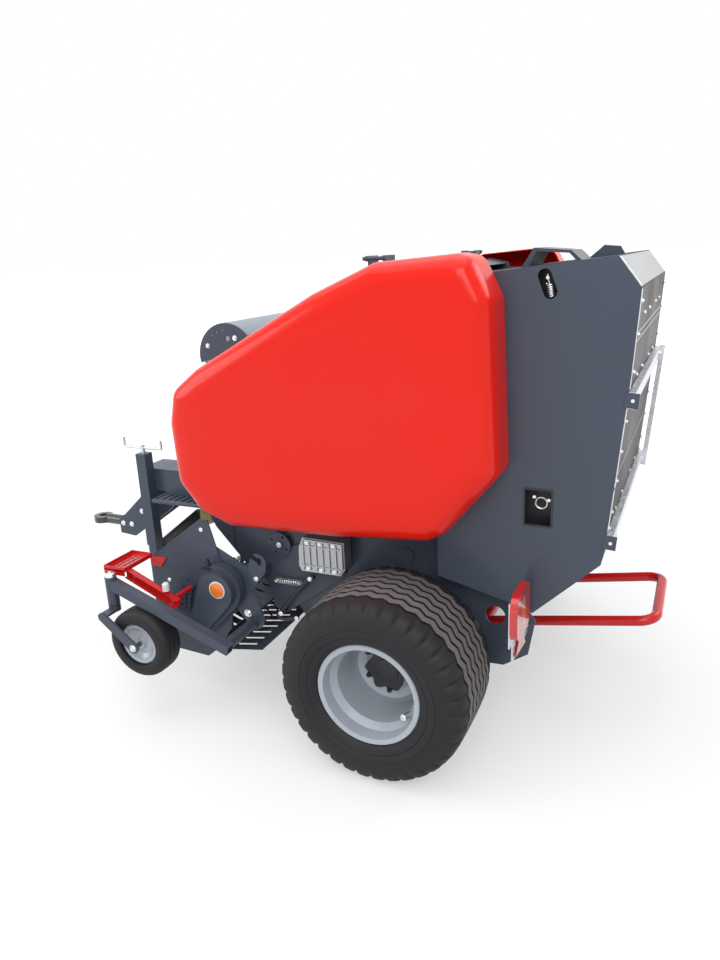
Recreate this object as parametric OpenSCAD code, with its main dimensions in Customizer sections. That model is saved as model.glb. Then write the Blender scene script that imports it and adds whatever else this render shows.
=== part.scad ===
// Round baler, towed: bale chamber with opening tailgate, drawbar, pick-up and side covers.
// +X points to the tractor, +Y to the machine's left, +Z up. Millimetres.
// The origin is on the ground under the middle of the machine's box.

/* [Road wheels] */
// Outer diameter of a road tyre
tyre_d = 866; // [800:1:900]
// Width of a road tyre
tyre_w = 490; // [440:1:500]
// Diameter over the rim's flanges
rim_d = 474; // [440:1:500]
// Width of the rim between its flanges
rim_w = 430; // [400:1:440]
// Half the track, centre line to wheel centre
track_half = 900; // [890:1:960]
// How far the wheel disc lies inboard of the wheel centre
disc_inset = 45; // [20:1:80]
// Radius of the axle's stub
spindle_r = 28; // [20:1:32]
// Side of the square axle tube
axle_side = 100; // [80:1:110]

/* [Bale chamber] */
// Width between the chamber walls
chamber_w = 1200; // [1150:1:1210]
// Thickness of the chassis walls
wall_t = 8; // [6:1:10]
// Chamber centre, ahead of the axle
chamber_x = -200; // [-210:1:-190]
// Chamber centre, height
chamber_z = 1440; // [1432:1:1446]
// Radius of the circle through the roller centres
ring_r = 600; // [596:1:606]
// Radius of a chamber roller
roller_r = 80; // [70:1:82]
// Angle between two rollers, degrees
roller_step = 16; // [16:1:17]

/* [Tailgate] */
// Outer face of the tailgate's side panels, from the centre line
gate_face_y = 695; // [690:1:698]
// Sheet thickness of the side panels
gate_t = 4; // [3:0.5:5]
// Hinge, ahead of the axle
gate_hinge_x = -50; // [-55:1:-45]
// Hinge, height
gate_hinge_z = 2100; // [2095:1:2105]
// Radius of the hinge pins
gate_pin_r = 22; // [18:1:26]

/* [Side covers] */
// Inner edge of a cover, from the centre line
cover_in_y = 705; // [703:1:712]
// How far a cover bulges out
cover_depth = 235; // [200:1:260]
// Sheet thickness of a cover
cover_t = 5; // [4:0.5:6]

/* [Drawbar] */
// Centre of the hitch eye, ahead of the axle
eye_x = 2440; // [2400:1:2480]
// Height of the hitch eye
eye_z = 590; // [580:1:600]
// Radius of the hole in the hitch eye
eye_hole_r = 26; // [20:0.5:30]
// Outer radius of the hitch eye
eye_r = 62; // [55:1:70]
// Side of the jack's square tube
jack_side = 70; // [60:1:75]
// Wall of the jack's tube
jack_wall = 5; // [4:0.5:6]

/* [Pick-up] */
// Outer face of the pick-up's side plates, from the centre line
pick_face_y = 743; // [738:1:750]
// Reel centre, ahead of the axle
reel_x = 1080; // [1070:1:1090]
// Reel centre, height with the pick-up raised
reel_z = 425; // [420:1:430]
// Reach of the tines from the reel's centre
tine_reach = 235; // [225:1:240]
// Feed rotor centre and pick-up pivot, ahead of the axle
rotor_x = 430; // [425:1:435]
// Feed rotor centre and pick-up pivot, height
rotor_z = 800; // [795:1:805]
// Reach of the feed rotor's fingers
rotor_r = 220; // [210:1:225]
// Diameter of a gauge wheel
gauge_d = 360; // [340:1:370]
// Width of a gauge tyre
gauge_w = 140; // [120:1:145]

/* [Bale ramp] */
// Rearmost reach of the ramp's tube, behind the axle
ramp_reach = 1104; // [1090:1:1120]
// Radius of the ramp's tube
ramp_tube_r = 24; // [20:1:26]
// Half the width of the ramp, to the tube's centre
ramp_half = 262; // [240:1:280]

/* [Hidden] */

$fn = 48;
// Clearance of a pin or shaft in its bore
run = 0.05;
// Gap between pieces that seat on each other
seat = 0.3;
// Clearance between pieces that pass each other
pass = 5;

wheel_z = tyre_d / 2;
wall_in = chamber_w / 2;
wall_out = wall_in + wall_t;
// The axle's place, so that the origin is under the middle of the machine
axle_x = (ramp_reach - eye_x - eye_r) / 2;

grey = [0.28, 0.32, 0.37];
dark = [0.12, 0.13, 0.15];
red = [0.91, 0.23, 0.17];
frame_red = [0.78, 0.09, 0.12];
silver = [0.75, 0.76, 0.78];
zinc = [0.66, 0.69, 0.71];
black = [0.05, 0.05, 0.055];

// Everything below is drawn with X counted from the axle
module from_axle() { translate([axle_x, 0, 0]) children(); }
module both_sides() {
    children();
    mirror([0, 1, 0]) children();
}
// A flat shape in X and Z, from y0 to y0 + t
module plate(y0, t) { translate([0, y0 + t, 0]) rotate([90, 0, 0]) linear_extrude(t) children(); }
// A round bar along Y
module bar_y(x, z, y0, y1, r) { translate([x, y0, z]) rotate([-90, 0, 0]) cylinder(h = y1 - y0, r = r); }
// A box from its lowest to its highest corner
module block(a, b) { translate(a) cube(b - a); }
// A round bar between two points
module bar(a, b, r) {
    d = b - a;
    l = norm(d);
    translate(a) rotate([0, acos(d[2] / l), atan2(d[1], d[0])]) cylinder(h = l, r = r);
}
// A flat link with round ends in X and Z
module link(a, b, ra, rb) {
    hull() {
        translate(a) circle(ra, $fn = 32);
        translate(b) circle(rb, $fn = 32);
    }
}
// A strip of sheet that follows a line of points, thickness t to the inside
module strip(pts, t) {
    for (i = [0 : len(pts) - 2]) {
        d = pts[i + 1] - pts[i];
        n = [d[1], -d[0]] / norm(d) * t;
        e = d / norm(d) * t / 3;
        polygon([pts[i] - e, pts[i + 1] + e, pts[i + 1] + e + n, pts[i] - e + n]);
    }
}

// Outlines in X and Z
wall_pts = [[-180, 2090], [-165, 2150], [-60, 2172], [40, 2165], [300, 2020], [840, 1750],
    [960, 1640], [975, 1250], [975, 800], [880, 720], [620, 560], [530, 420], [120, 375],
    [-460, 395], [-570, 470], [-600, 640], [-545, 722], [-180, 803]];
gate_rim = [[-180, 2118], [-877, 2183], [-963, 2069], [-945, 1755], [-906, 1305], [-880, 1020],
    [-872, 982], [-602, 722]];
gate_pts = concat([[-180, 838]], gate_rim, [[-560, 742]]);
// A line of points moved to its left by t
function leg(a, b) = (b - a) / norm(b - a);
function inset(pts, t) = [for (i = [0 : len(pts) - 1])
    let (u = leg(pts[max(i - 1, 0)], pts[max(i, 1)]),
        v = leg(pts[min(i, len(pts) - 2)], pts[min(i + 1, len(pts) - 1)]),
        n = [-u[1] - v[1], u[0] + v[0]])
    pts[i] + n * t * 2 / (n * n)];
gate_line = inset(gate_rim, 4);
gate_back = concat([gate_line[0] + leg(gate_line[0], gate_line[1]) * 25], [for (i = [1 : 6]) gate_line[i]],
    [gate_line[6] + (gate_line[7] - gate_line[6]) * 0.79]);
gate_inner = inset(gate_rim, 12);

// Chassis
function ring_at(a) = [chamber_x + ring_r * cos(a), chamber_z + ring_r * sin(a)];
front_angles = [82, 66, 50, 34, 18, 2, -14, -70, -86];
gate_angles = [for (k = [0 : 10]) 98 + k * 16];
boss_angles = [50, 34, 18, 2, -14, -70];

module chassis_walls() {
    color(grey) from_axle() both_sides() {
        difference() {
            union() {
                plate(wall_in, wall_t) polygon(wall_pts);
                for (a = boss_angles)
                    bar_y(ring_at(a)[0], ring_at(a)[1], wall_out, wall_out + boss_h, 40);
                bar_y(gate_hinge_x, gate_hinge_z, wall_out, lug_y + 16, gate_pin_r);
                bar_y(rotor_x, rotor_z, wall_out, pivot_y, pivot_r);
                bar_y(ram_base[0], ram_base[1], wall_out, ram_y + 20, ram_pin_r);
                bar_y(ram_base[0], ram_base[1], wall_out, ram_y - 21, 24);
                // cover hinge: two brackets and the rod along X
                for (x = cover_brackets) {
                    block([x, wall_in, 2090], [x + 8, cover_in_y - 10, cover_hinge_z + 11]);
                    block([x, cover_in_y - 10, cover_hinge_z - 11], [x + 8, cover_hinge_y, cover_hinge_z + 11]);
                    bar([x, cover_hinge_y, cover_hinge_z], [x + 8, cover_hinge_y, cover_hinge_z], 11);
                }
                bar([15, cover_hinge_y, cover_hinge_z], [115, cover_hinge_y, cover_hinge_z], cover_pin_r);
                // pins that carry the bale ramp
                bar_y(ramp_x, ramp_z, wall_in - 45, wall_out, ramp_pin_r);
            }
            bar_y(rotor_x, rotor_z, wall_in - 1, pivot_y + 1, rotor_pin_r + run);
            bar_y(-420, 640, wall_in - 1, wall_out + 1, 45);
        }
    }
}
rotor_pin_r = 30;
pivot_r = 95;
pivot_y = wall_out + 18;
boss_h = 8;
ram_pin_r = 15;
cover_pin_r = 8;
cover_hinge_y = cover_in_y + 9;
cover_hinge_z = 2207;
// Places along X of the hinge brackets on the wall and of the ears on the cover
cover_brackets = [20, 95];
cover_ears = [34, 76];
ramp_pin_r = 12;

module cross_members() {
    color(grey) from_axle() {
        block([760, -wall_in, 1040], [880, wall_in, 1160]);
        block([700, -wall_in, 1640], [780, wall_in, 1720]);
        bar_y(-15, 2138, -wall_in, wall_in, 16);
        block([-200, -wall_in, 400], [-120, wall_in, 480]);
        block([400, -wall_in, 440], [480, wall_in, 500]);
    }
}

module axle_beam() {
    s = axle_side / 2;
    y_end = track_half - disc_inset - 60;
    color(grey) from_axle() {
        block([-s, -wall_in + seat, wheel_z - s], [s, wall_in - seat, wheel_z + s]);
        both_sides() {
            block([-s, wall_out + seat, wheel_z - s], [s, 700, wheel_z + s]);
            bar_y(0, wheel_z, 700, 740, 45);
            bar_y(0, wheel_z, 740, y_end + 75, spindle_r);
        }
    }
}

// Road wheels, centred on the origin, outer side towards +Y
module tyre() {
    r = tyre_d / 2;
    w = tyre_w / 2;
    b = rim_w / 2;
    rotate([-90, 0, 0]) rotate_extrude($fn = 72)
        polygon([[218, b - 8.5], [218, b - 34], [250, b - 30], [r - 75, w - 45], [r - 30, 175], [r - 26, 0],
            [r - 30, -175], [r - 75, 45 - w], [250, 30 - b], [218, 34 - b], [218, 8.5 - b],
            [rim_d / 2 + 1, 5.7 - b], [265, -w + 16], [310, -w], [345, -w + 4], [r - 32, -w + 14], [r - 8, -w + 34],
            [r - 2, -w + 70], [r, -100], [r - 12, -96], [r - 12, -84], [r, -80], [r, -8], [r - 12, -4],
            [r - 12, 4], [r, 8], [r, 80], [r - 12, 84], [r - 12, 96], [r, 100], [r - 2, w - 70],
            [r - 8, w - 34], [r - 32, w - 14], [345, w - 4], [310, w], [265, w - 16],
            [rim_d / 2 + 1, b - 5.7]]);
}
module rim() {
    f = rim_d / 2;
    b = rim_w / 2;
    y = -disc_inset;
    difference() {
        rotate([-90, 0, 0]) rotate_extrude($fn = 72)
            polygon([[f - 4, -b], [f, -b + 5], [f - 2, -b + 5.5], [217.6, -b + 8], [215, -b + 50],
                [190, -b + 62], [190, b - 95], [213, b - 62], [217.6, b - 8], [f - 2, b - 5.5],
                [f, b - 5], [f - 4, b], [212, b - 4], [206, b - 60], [184, b - 92], [184, y + 6],
                [150, y + 20], [110, y + 8], [80, y + 8], [80, y + 35], [spindle_r + 20, y + 45],
                [spindle_r + run, y + 45], [spindle_r + run, y - 45], [72, y - 45], [72, y - 8],
                [110, y - 8], [150, y + 4], [184, y - 10], [184, -b + 60], [206, -b + 50], [212, -b + 4]]);
        for (i = [0 : 5])
            rotate([0, i * 60, 0]) bar_y(95, 0, y - 20, y + 20, 9);
    }
}
module tyre_left() { color(black) from_axle() translate([0, track_half, wheel_z]) tyre(); }
module rim_left() { color(silver) from_axle() translate([0, track_half, wheel_z]) rim(); }
module tyre_right() { color(black) from_axle() translate([0, -track_half, wheel_z]) rotate([0, 0, 180]) tyre(); }
module rim_right() { color(silver) from_axle() translate([0, -track_half, wheel_z]) rotate([0, 0, 180]) rim(); }

// Drawbar and what it carries
beam_half = 105;
beam_bot = 868;
beam_top = 1010;
beam_end = 1960;
module drawbar() {
    color(grey) from_axle() {
        block([1250, -beam_half, beam_bot], [beam_end, beam_half, beam_top]);
        both_sides() {
            // side beams from the front cross member to the head
            hull() {
                block([820, 480, 900], [880, 600 - seat, 1040 - seat]);
                block([1260, 60, 900], [1330, beam_half, beam_top - 10]);
            }
            // gooseneck plates down to the hitch
            plate(52, 14) polygon([[1700, beam_bot], [1955, beam_bot], [2190, 660], [2240, 640], [2240, 530],
                [2120, 520], [1800, 740]]);
        }
        block([2080, -52, 560], [2200, 52, 620]);
    }
}
module hitch_eye() {
    color(dark) from_axle() difference() {
        union() {
            translate([eye_x, 0, eye_z - 20]) cylinder(h = 40, r = eye_r);
            bar([2200 + seat, 0, eye_z], [eye_x - 40, 0, eye_z], 34);
        }
        translate([eye_x, 0, eye_z - 30]) cylinder(h = 60, r = eye_hole_r);
    }
}
jack_x = 1900;
jack_y = beam_half + seat + jack_side / 2;
jack_top = 1116;
jack_low = 520;
module jack_tube() {
    s = jack_side / 2;
    i = s - jack_wall;
    color(grey) from_axle() difference() {
        block([jack_x - s, jack_y - s, jack_low], [jack_x + s, jack_y + s, jack_top]);
        block([jack_x - i, jack_y - i, jack_low - 1], [jack_x + i, jack_y + i, jack_top - jack_wall]);
    }
}
module jack_leg() {
    s = jack_side / 2 - jack_wall - 0.5;
    color(grey) from_axle() {
        block([jack_x - s, jack_y - s, 14], [jack_x + s, jack_y + s, 760]);
        translate([jack_x, jack_y, 0]) cylinder(h = 14, r = 75);
    }
}
module jack_crank() {
    z = jack_top + 34;
    color(silver) from_axle() {
        translate([jack_x, jack_y, jack_top + seat]) cylinder(h = 50, r = 13);
        bar([jack_x - 140, jack_y, z], [jack_x + 140, jack_y, z], 8);
        bar([jack_x + 140, jack_y, z], [jack_x + 140, jack_y, z + 60], 8);
        bar([jack_x - 140, jack_y, z], [jack_x - 140, jack_y, z + 50], 8);
    }
}
module drawbar_step() {
    color(grey) from_axle() {
        block([1345, beam_half + seat, 896], [1690, 350, 902]);
        bar([1345, 350, 896], [1690, 350, 896], 12);
        plate(240, 5) polygon([[1690, 902], [1345, 902], [1345, 1060], [1480, 1060]]);
    }
}
module gearbox() {
    color(grey) from_axle() {
        block([800, -110, 700], [1020, 110, 940]);
        bar_y(910, 820, -wall_in + seat, -110, 38);
        bar([1010, 0, 760], [1490, 0, 735], 40);
        block([1400, -60, 690], [1500, 60, beam_bot - seat]);
        block([820, -60, 940], [1000, 60, 1040 - seat]);
        bar([1500, 0, joint_c[2]], joint_c, 12);
        translate(joint_c) sphere(joint_r);
    }
}
module pto_cone() {
    color([0.85, 0.72, 0.1]) from_axle() translate([1500 + seat, 0, 735]) rotate([0, 90, 0])
        rotate_extrude() polygon([[26, 0], [70, 0], [92, 62], [88, 62], [66, 4], [26, 4]]);
}
// Centre and radius of the shaft's joint
joint_c = [1560, 0, 735];
joint_r = 18;
shaft_b = [2030, 0, 375];
module pto_shaft() {
    d = (shaft_b - joint_c) / norm(shaft_b - joint_c);
    l = norm(shaft_b - joint_c);
    color(black) from_axle() difference() {
        union() {
            bar(joint_c + d * 0.5, joint_c + d * 62, 28);
            bar(joint_c + d * 60, joint_c + d * l * 0.55, 36);
            bar(joint_c + d * (l * 0.55 - 2), shaft_b - d * 58, 30);
            bar(shaft_b - d * 60, shaft_b, 40);
        }
        translate(joint_c) sphere(joint_r + seat);
        bar(shaft_b - d * pto_bore_l, shaft_b + d, pto_bore_r);
    }
}
// Bore that takes the tractor's stub shaft
pto_bore_r = 17.5;
pto_bore_l = 70;

// Chamber rollers
// A hollow roller on two journals, each held by a flat across the tube's end
module roller(p) {
    y = wall_in - pass - 1;
    difference() {
        bar_y(p[0], p[1], -y, y, roller_r);
        bar_y(p[0], p[1], -y - 1, y + 1, roller_r - 6);
    }
    both_sides() {
        block([p[0] - roller_r + 3, y - 10, p[1] - 15], [p[0] + roller_r - 3, y, p[1] + 15]);
        bar_y(p[0], p[1], y - 10, wall_in - seat, 20);
    }
}
module chamber_rollers() { color(zinc) from_axle() for (a = front_angles) roller(ring_at(a)); }
module gate_rollers() { color(zinc) from_axle() for (a = gate_angles) roller(ring_at(a)); }
module feed_floor() {
    color(dark) from_axle() plate(-wall_in + seat, 2 * (wall_in - seat)) difference() {
        intersection() {
            translate([rotor_x, rotor_z]) circle(rotor_r + 24, $fn = 64);
            polygon([[rotor_x - 150, rotor_z - 150], [rotor_x + 230, rotor_z - 100], [rotor_x + 200, rotor_z - 300],
                [rotor_x - 200, rotor_z - 300]]);
        }
        translate([rotor_x, rotor_z]) circle(rotor_r + 18, $fn = 64);
    }
}
module feed_rotor() {
    color(frame_red) from_axle() translate([rotor_x, 0, rotor_z]) {
        bar_y(0, 0, -(pivot_y - 2), pivot_y - 2, rotor_pin_r);
        bar_y(0, 0, -wall_in + 5, wall_in - 5, 70);
        for (i = [0 : 13])
            translate([0, -wall_in + 50 + i * 84, 0]) rotate([0, i * 30, 0]) plate(0, 8)
                for (k = [0 : 3]) rotate(k * 90)
                    polygon([[50, -35], [50, 35], [120, 30], [rotor_r, 12], [rotor_r - 4, -4], [120, -20]]);
    }
}

// Net wrap
net_x = 895;
net_z = 1785;
net_r = 155;
// Hinge of the lid, its pin and the floor that the roll lies on
lid_x = 742;
lid_z = 1852;
lid_pin_r = 8;
net_floor = 1724;
net_end_y = wall_in - 18;
module net_box() {
    color(grey) from_axle() {
        both_sides() {
            plate(net_end_y, 8) difference() {
                union() {
                    translate([net_x, net_z]) circle(net_r - 8);
                    link([lid_x, lid_z], [net_x - 60, net_z], 18, 60);
                }
                translate([net_x - 200, net_z - 300]) square([400, net_floor - 4 - net_z + 300]);
            }
            bar_y(lid_x, lid_z, net_end_y, wall_out + 2, lid_pin_r);
        }
        block([740, -wall_in + seat, net_floor - 4], [1000, wall_in - seat, net_floor]);
    }
}
module net_roll() {
    r = 95;
    color([0.9, 0.9, 0.88]) from_axle()
        bar_y(net_x, net_floor + seat + r, -net_end_y + 5, net_end_y - 5, r);
}
module net_lid() {
    cut = [[lid_x - 60, lid_z - 32], [net_x + 300, net_z - 60], [net_x + 300, net_z - 400], [net_x - 400, net_z - 400],
        [net_x - 400, lid_z - 32]];
    color(zinc) from_axle() difference() {
        union() {
            plate(-wall_in - 6, 2 * wall_in + 12) difference() {
                translate([net_x, net_z]) circle(net_r + 3);
                translate([net_x, net_z]) circle(net_r);
                polygon(cut);
                translate([net_x - 300, net_z - 300]) square([180, 600]);
            }
            both_sides() plate(wall_in + 1, 5) difference() {
                union() {
                    translate([net_x, net_z]) circle(net_r + 3);
                    translate([lid_x, lid_z]) circle(20);
                }
                polygon(cut);
            }
        }
        both_sides() bar_y(lid_x, lid_z, wall_in - 5, wall_in + 10, lid_pin_r + run);
    }
}
module top_sheet() {
    color(grey) from_axle() {
        plate(-wall_in + seat, 2 * (wall_in - seat))
            strip([[-155, 2144], [-60, 2164], [40, 2158], [300, 2015], [690, 1820]], 3);
    }
}

// Drive side, left
module chain_drive() {
    color(zinc) from_axle() {
        for (a = [50, 34, 18, 2, -14])
            translate([ring_at(a)[0], wall_out + boss_h + seat, ring_at(a)[1]]) sprocket(62, 18);
        translate([640, wall_out + boss_h + seat, 1420]) sprocket(105, 30);
        bar_y(640, 1420, wall_out + seat, wall_out + boss_h + 1, 40);
    }
}
// A chain wheel of tip radius r with n teeth, five holes and a hub, from y = 0
module sprocket(r, n) {
    plate(0, 7) difference() {
        union() {
            circle(r - 8, $fn = 64);
            for (k = [0 : n - 1]) rotate(k * 360 / n)
                polygon([[r - 10, -5], [r, -1.8], [r, 1.8], [r - 10, 5]]);
        }
        for (k = [0 : 4]) rotate(k * 72) translate([r * 0.6, 0]) circle(r * 0.17);
    }
    bar_y(0, 0, 6, 12, r * 0.33);
}
module rotor_housing() {
    color(silver) from_axle() {
        block([300, pivot_y + seat, 760], [520, wall_out + 110, 940]);
    }
}
module lift_spring() {
    color(zinc) from_axle() {
        y = lug_y + 8 + seat;
        bar([535, y + 22, 665], [700, y + 22, 665], 16);
        bar_y(550, 665, y, y + 38, 8);
        bar_y(690, 665, y, y + 38, 8);
    }
}

// Lamps at the rear, on plates across X, with a reflector below each
lamp_x = -568;
lamp_y = 845;
lamp_z = 805;
module lamp_brackets() {
    color(zinc) from_axle() both_sides() {
        block([lamp_x, wall_out + seat, 590], [lamp_x + 6, 900, 680]);
        block([lamp_x, 735, 680], [lamp_x + 6, 955, 880]);
    }
}
// A flat shape in Y and Z, from x0 to x0 + t
module plate_x(x0, t) { translate([x0, 0, 0]) rotate([90, 0, 90]) linear_extrude(t) children(); }
module tail_lamps() {
    color([0.95, 0.35, 0.1]) from_axle() both_sides() {
        plate_x(lamp_x - 32, 32 - seat) translate([lamp_y, lamp_z]) {
            for (p = [[-60, -40], [60, -40], [-60, 40], [60, 40]]) translate(p) circle(60);
            translate([-120, -40]) square([240, 80]);
            translate([-60, -100]) square([120, 200]);
        }
        plate_x(lamp_x - 10, 10 - seat) polygon([[790, 700], [880, 607], [700, 585]]);
    }
}

// Tailgate
lug_y = wall_out + pass;
module gate_panels() {
    color(grey) from_axle() both_sides() {
        difference() {
            plate(gate_face_y - gate_t, gate_t) polygon(gate_pts);
            plate(gate_face_y - gate_t - 1, gate_t + 2) translate([-670, 1124]) square([110, 155]);
            plate(gate_face_y - gate_t - 1, gate_t + 2) link([-640, 2060], [-618, 2120], 26, 26);
        }
        // clamps that close the ends of the rear bars
        for (z = bar_z)
            plate(gate_face_y, 6) translate([rim_x(z), z]) rotate(bar_lean) translate([-42, -29]) square([50, 58]);
    }
}
module gate_walls() {
    inner = concat([[-190, 850], [-190, 2106]], [for (i = [1 : 6]) gate_inner[i]], [[-640, 800], [-572, 790]]);
    color(grey) from_axle() both_sides() {
        plate(wall_in, 6) polygon(inner);
        // hinge lug, carried round the hinge pin
        difference() {
            union() {
                plate(wall_in + 6, lug_y - wall_in) polygon([[-400, 1900], [-200, 1880], [-200, 2090], [-400, 2104]]);
                plate(lug_y, 6) polygon([[-400, 1900], [-150, 1900], [gate_hinge_x + 40, gate_hinge_z - 30],
                    [gate_hinge_x + 40, gate_hinge_z + 34], [-60, 2140], [-190, 2124], [-218, 2104], [-400, 2104]]);
                bar_y(ram_tip[0] - 20, ram_tip[1], wall_in + 6, ram_y - 21, 30);
            }
            bar_y(gate_hinge_x, gate_hinge_z, wall_in - 1, 700, gate_pin_r + run);
        }
        // spacers between the wall and the outer panel
        for (p = [[-860, 2050], [-880, 1700], [-860, 1250], [-620, 850], [-560, 2080]])
            bar_y(p[0], p[1], wall_in + 6, gate_face_y - gate_t - seat, 18);
    }
}
module gate_sheet() {
    y = gate_face_y - gate_t - seat;
    color(dark) from_axle() plate(-y, 2 * y) strip(gate_back, 3);
}
// Rear bars: heights, lean with the sheet, and a channel's height, depth and wall
bar_z = [1085, 1660];
bar_lean = atan(39 / 450);
bar_h = 64;
bar_d = 26;
bar_t = 4;
function rim_x(z) = let (a = gate_rim[z > 1305 ? 3 : 4], b = gate_rim[z > 1305 ? 4 : 5])
    a[0] + (z - a[1]) * (b[0] - a[0]) / (b[1] - a[1]);
module gate_bars() {
    y = gate_face_y - seat;
    color(zinc) from_axle() for (z = bar_z)
        plate(-y, 2 * y) translate([rim_x(z) - seat, z]) rotate(bar_lean) difference() {
            translate([-bar_d, -bar_h / 2]) square([bar_d, bar_h]);
            translate([-bar_d + bar_t, -bar_h / 2 + bar_t]) square([bar_d, bar_h - 2 * bar_t]);
        }
}
// Roof line of the tailgate
function roof_z(x) = gate_back[0][1] + (x - gate_back[0][0]) * (gate_back[1][1] - gate_back[0][1])
    / (gate_back[1][0] - gate_back[0][0]);
module gate_top() {
    e = 3 + seat + 0.1;
    color(grey) from_axle() {
        plate(300, 260) difference() {
            polygon([[-498, roof_z(-498) + e], [-546, 2221], [-689, 2207], [-730, roof_z(-730) + e]]);
            polygon([[-530, roof_z(-530) + 6], [-556, 2208], [-682, 2196], [-708, roof_z(-708) + 6]]);
        }
        plate(180, 8) polygon([[-700, roof_z(-700) + e], [-764, 2219], [-830, 2212], [-850, roof_z(-850) + e]]);
    }
}

// Side covers
cover_pts = [[1056, 1517], [1042, 1226], [925, 1085], [760, 1026], [239, 1036], [-206, 1068], [-275, 1108],
    [-497, 1372], [-468, 2048], [-392, 2200], [-323, 2216], [4, 2196], [281, 2083], [884, 1770], [1020, 1672]];
// How far the rounded edge has come in, at each distance below the outer face
cover_rings = [[80, 3], [45, 14], [20, 35], [6, 70], [1, 130]];
module cover_outline(inset) {
    offset(r = 50, $fn = 24) offset(delta = -50 - inset) polygon(cover_pts);
}
module cover_shape(inset) {
    hull() {
        plate(cover_in_y, 1) cover_outline(inset);
        for (c = cover_rings)
            plate(cover_in_y + cover_depth - inset - c[0], 1) cover_outline(inset + c[1]);
    }
}
module cover() {
    difference() {
        union() {
            difference() {
                cover_shape(0);
                translate([0, -1, 0]) cover_shape(cover_t);
            }
            for (x = cover_ears) {
                block([x, cover_in_y, 2172 - x * 0.4], [x + 12, cover_in_y + cover_t, cover_hinge_z]);
                bar([x, cover_hinge_y, cover_hinge_z], [x + 12, cover_hinge_y, cover_hinge_z], 13);
            }
        }
        bar([10, cover_hinge_y, cover_hinge_z], [125, cover_hinge_y, cover_hinge_z], cover_pin_r + run);
    }
}
module cover_left() { color(red) from_axle() cover(); }
module cover_right() { color(red) from_axle() mirror([0, 1, 0]) cover(); }

// Tailgate rams
ram_r = 600;
ram_y = 660;
ram_base = [gate_hinge_x + ram_r * cos(-40), gate_hinge_z + ram_r * sin(-40)];
ram_tip = [gate_hinge_x + ram_r * cos(-105), gate_hinge_z + ram_r * sin(-105)];
ram_dir = (ram_tip - ram_base) / norm(ram_tip - ram_base);
// Length of the barrel from its eye, and the rod's radius
barrel_l = 560;
rod_r = 15;
module ram_barrel() {
    a = ram_base;
    b = ram_base + ram_dir * barrel_l;
    difference() {
        union() {
            bar([a[0] + ram_dir[0] * 27, ram_y, a[1] + ram_dir[1] * 27], [b[0], ram_y, b[1]], 25);
            bar_y(a[0], a[1], ram_y - 20, ram_y + 20, 30);
        }
        bar_y(a[0], a[1], ram_y - 21, ram_y + 21, ram_pin_r + run);
        bar([a[0] + ram_dir[0] * 60, ram_y, a[1] + ram_dir[1] * 60], [b[0] + ram_dir[0], ram_y, b[1] + ram_dir[1]],
            rod_r + run);
    }
}
module ram_rod() {
    a = ram_base + ram_dir * 70;
    b = ram_tip;
    bar([a[0], ram_y, a[1]], [b[0] - ram_dir[0] * 15, ram_y, b[1] - ram_dir[1] * 15], rod_r);
    bar_y(b[0], b[1], ram_y - 20, ram_y + 20, 26);
}
module ram_barrel_left() { color(dark) from_axle() ram_barrel(); }
module ram_barrel_right() { color(dark) from_axle() mirror([0, 1, 0]) ram_barrel(); }
module ram_rod_left() { color(silver) from_axle() ram_rod(); }
module ram_rod_right() { color(silver) from_axle() mirror([0, 1, 0]) ram_rod(); }

// Pick-up
// Side plate round the reel, and behind it the plate with the hook
side_pts = [[1401, 740], [1060, 988], [1016, 985], [951, 742], [905, 560], [935, 400], [1020, 270], [1100, 205],
    [1290, 215], [1345, 300], [1401, 560]];
hook_pts = [[1040, 870], [1000, 851], [802, 753], [792, 788], [742, 790], [697, 775], [704, 740], [743, 690],
    [793, 625], [762, 595], [729, 479], [751, 430], [794, 410], [845, 460], [898, 523], [1040, 560]];
hook_c = [742, 790];
hook_r = 47;
side_t = 6;
module pickup_frame() {
    y = pick_face_y - side_t;
    y_arm = lug_y + 8;
    color(grey) from_axle() {
        both_sides() {
            difference() {
                plate(y, side_t) polygon(side_pts);
                bar_y(reel_x, reel_z, y - 1, y + side_t + 1, reel_pin_r + run);
            }
            plate(y - side_t, side_t) difference() {
                union() {
                    difference() {
                        polygon(hook_pts);
                        translate([reel_x, reel_z]) circle(150);
                    }
                    translate(hook_c) circle(hook_r);
                }
                // slot of the hook, open to the upper front
                link([733, 786], [733, 804], 12, 12);
                polygon([[735, 785], [741, 812], [790, 846], [806, 816]]);
            }
            // arm to the pivot on the chassis wall
            difference() {
                plate(lug_y, 8) {
                    translate([rotor_x, rotor_z]) circle(pivot_r + 30);
                    polygon([[rotor_x, rotor_z + 125], [790, 770], [790, 660], [740, 620], [740, 500], [660, 480],
                        [rotor_x - 60, rotor_z - 109]]);
                }
                bar_y(rotor_x, rotor_z, lug_y - 1, lug_y + 9, pivot_r + run);
            }
            block([740, y_arm, 690], [785, y - side_t, 745]);
            // setting quadrant of the gauge arm, with two rows of holes
            plate(pick_face_y, side_t) quadrant();
        }
        block([660, -lug_y, 500], [740, lug_y, 560]);
    }
}
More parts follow.
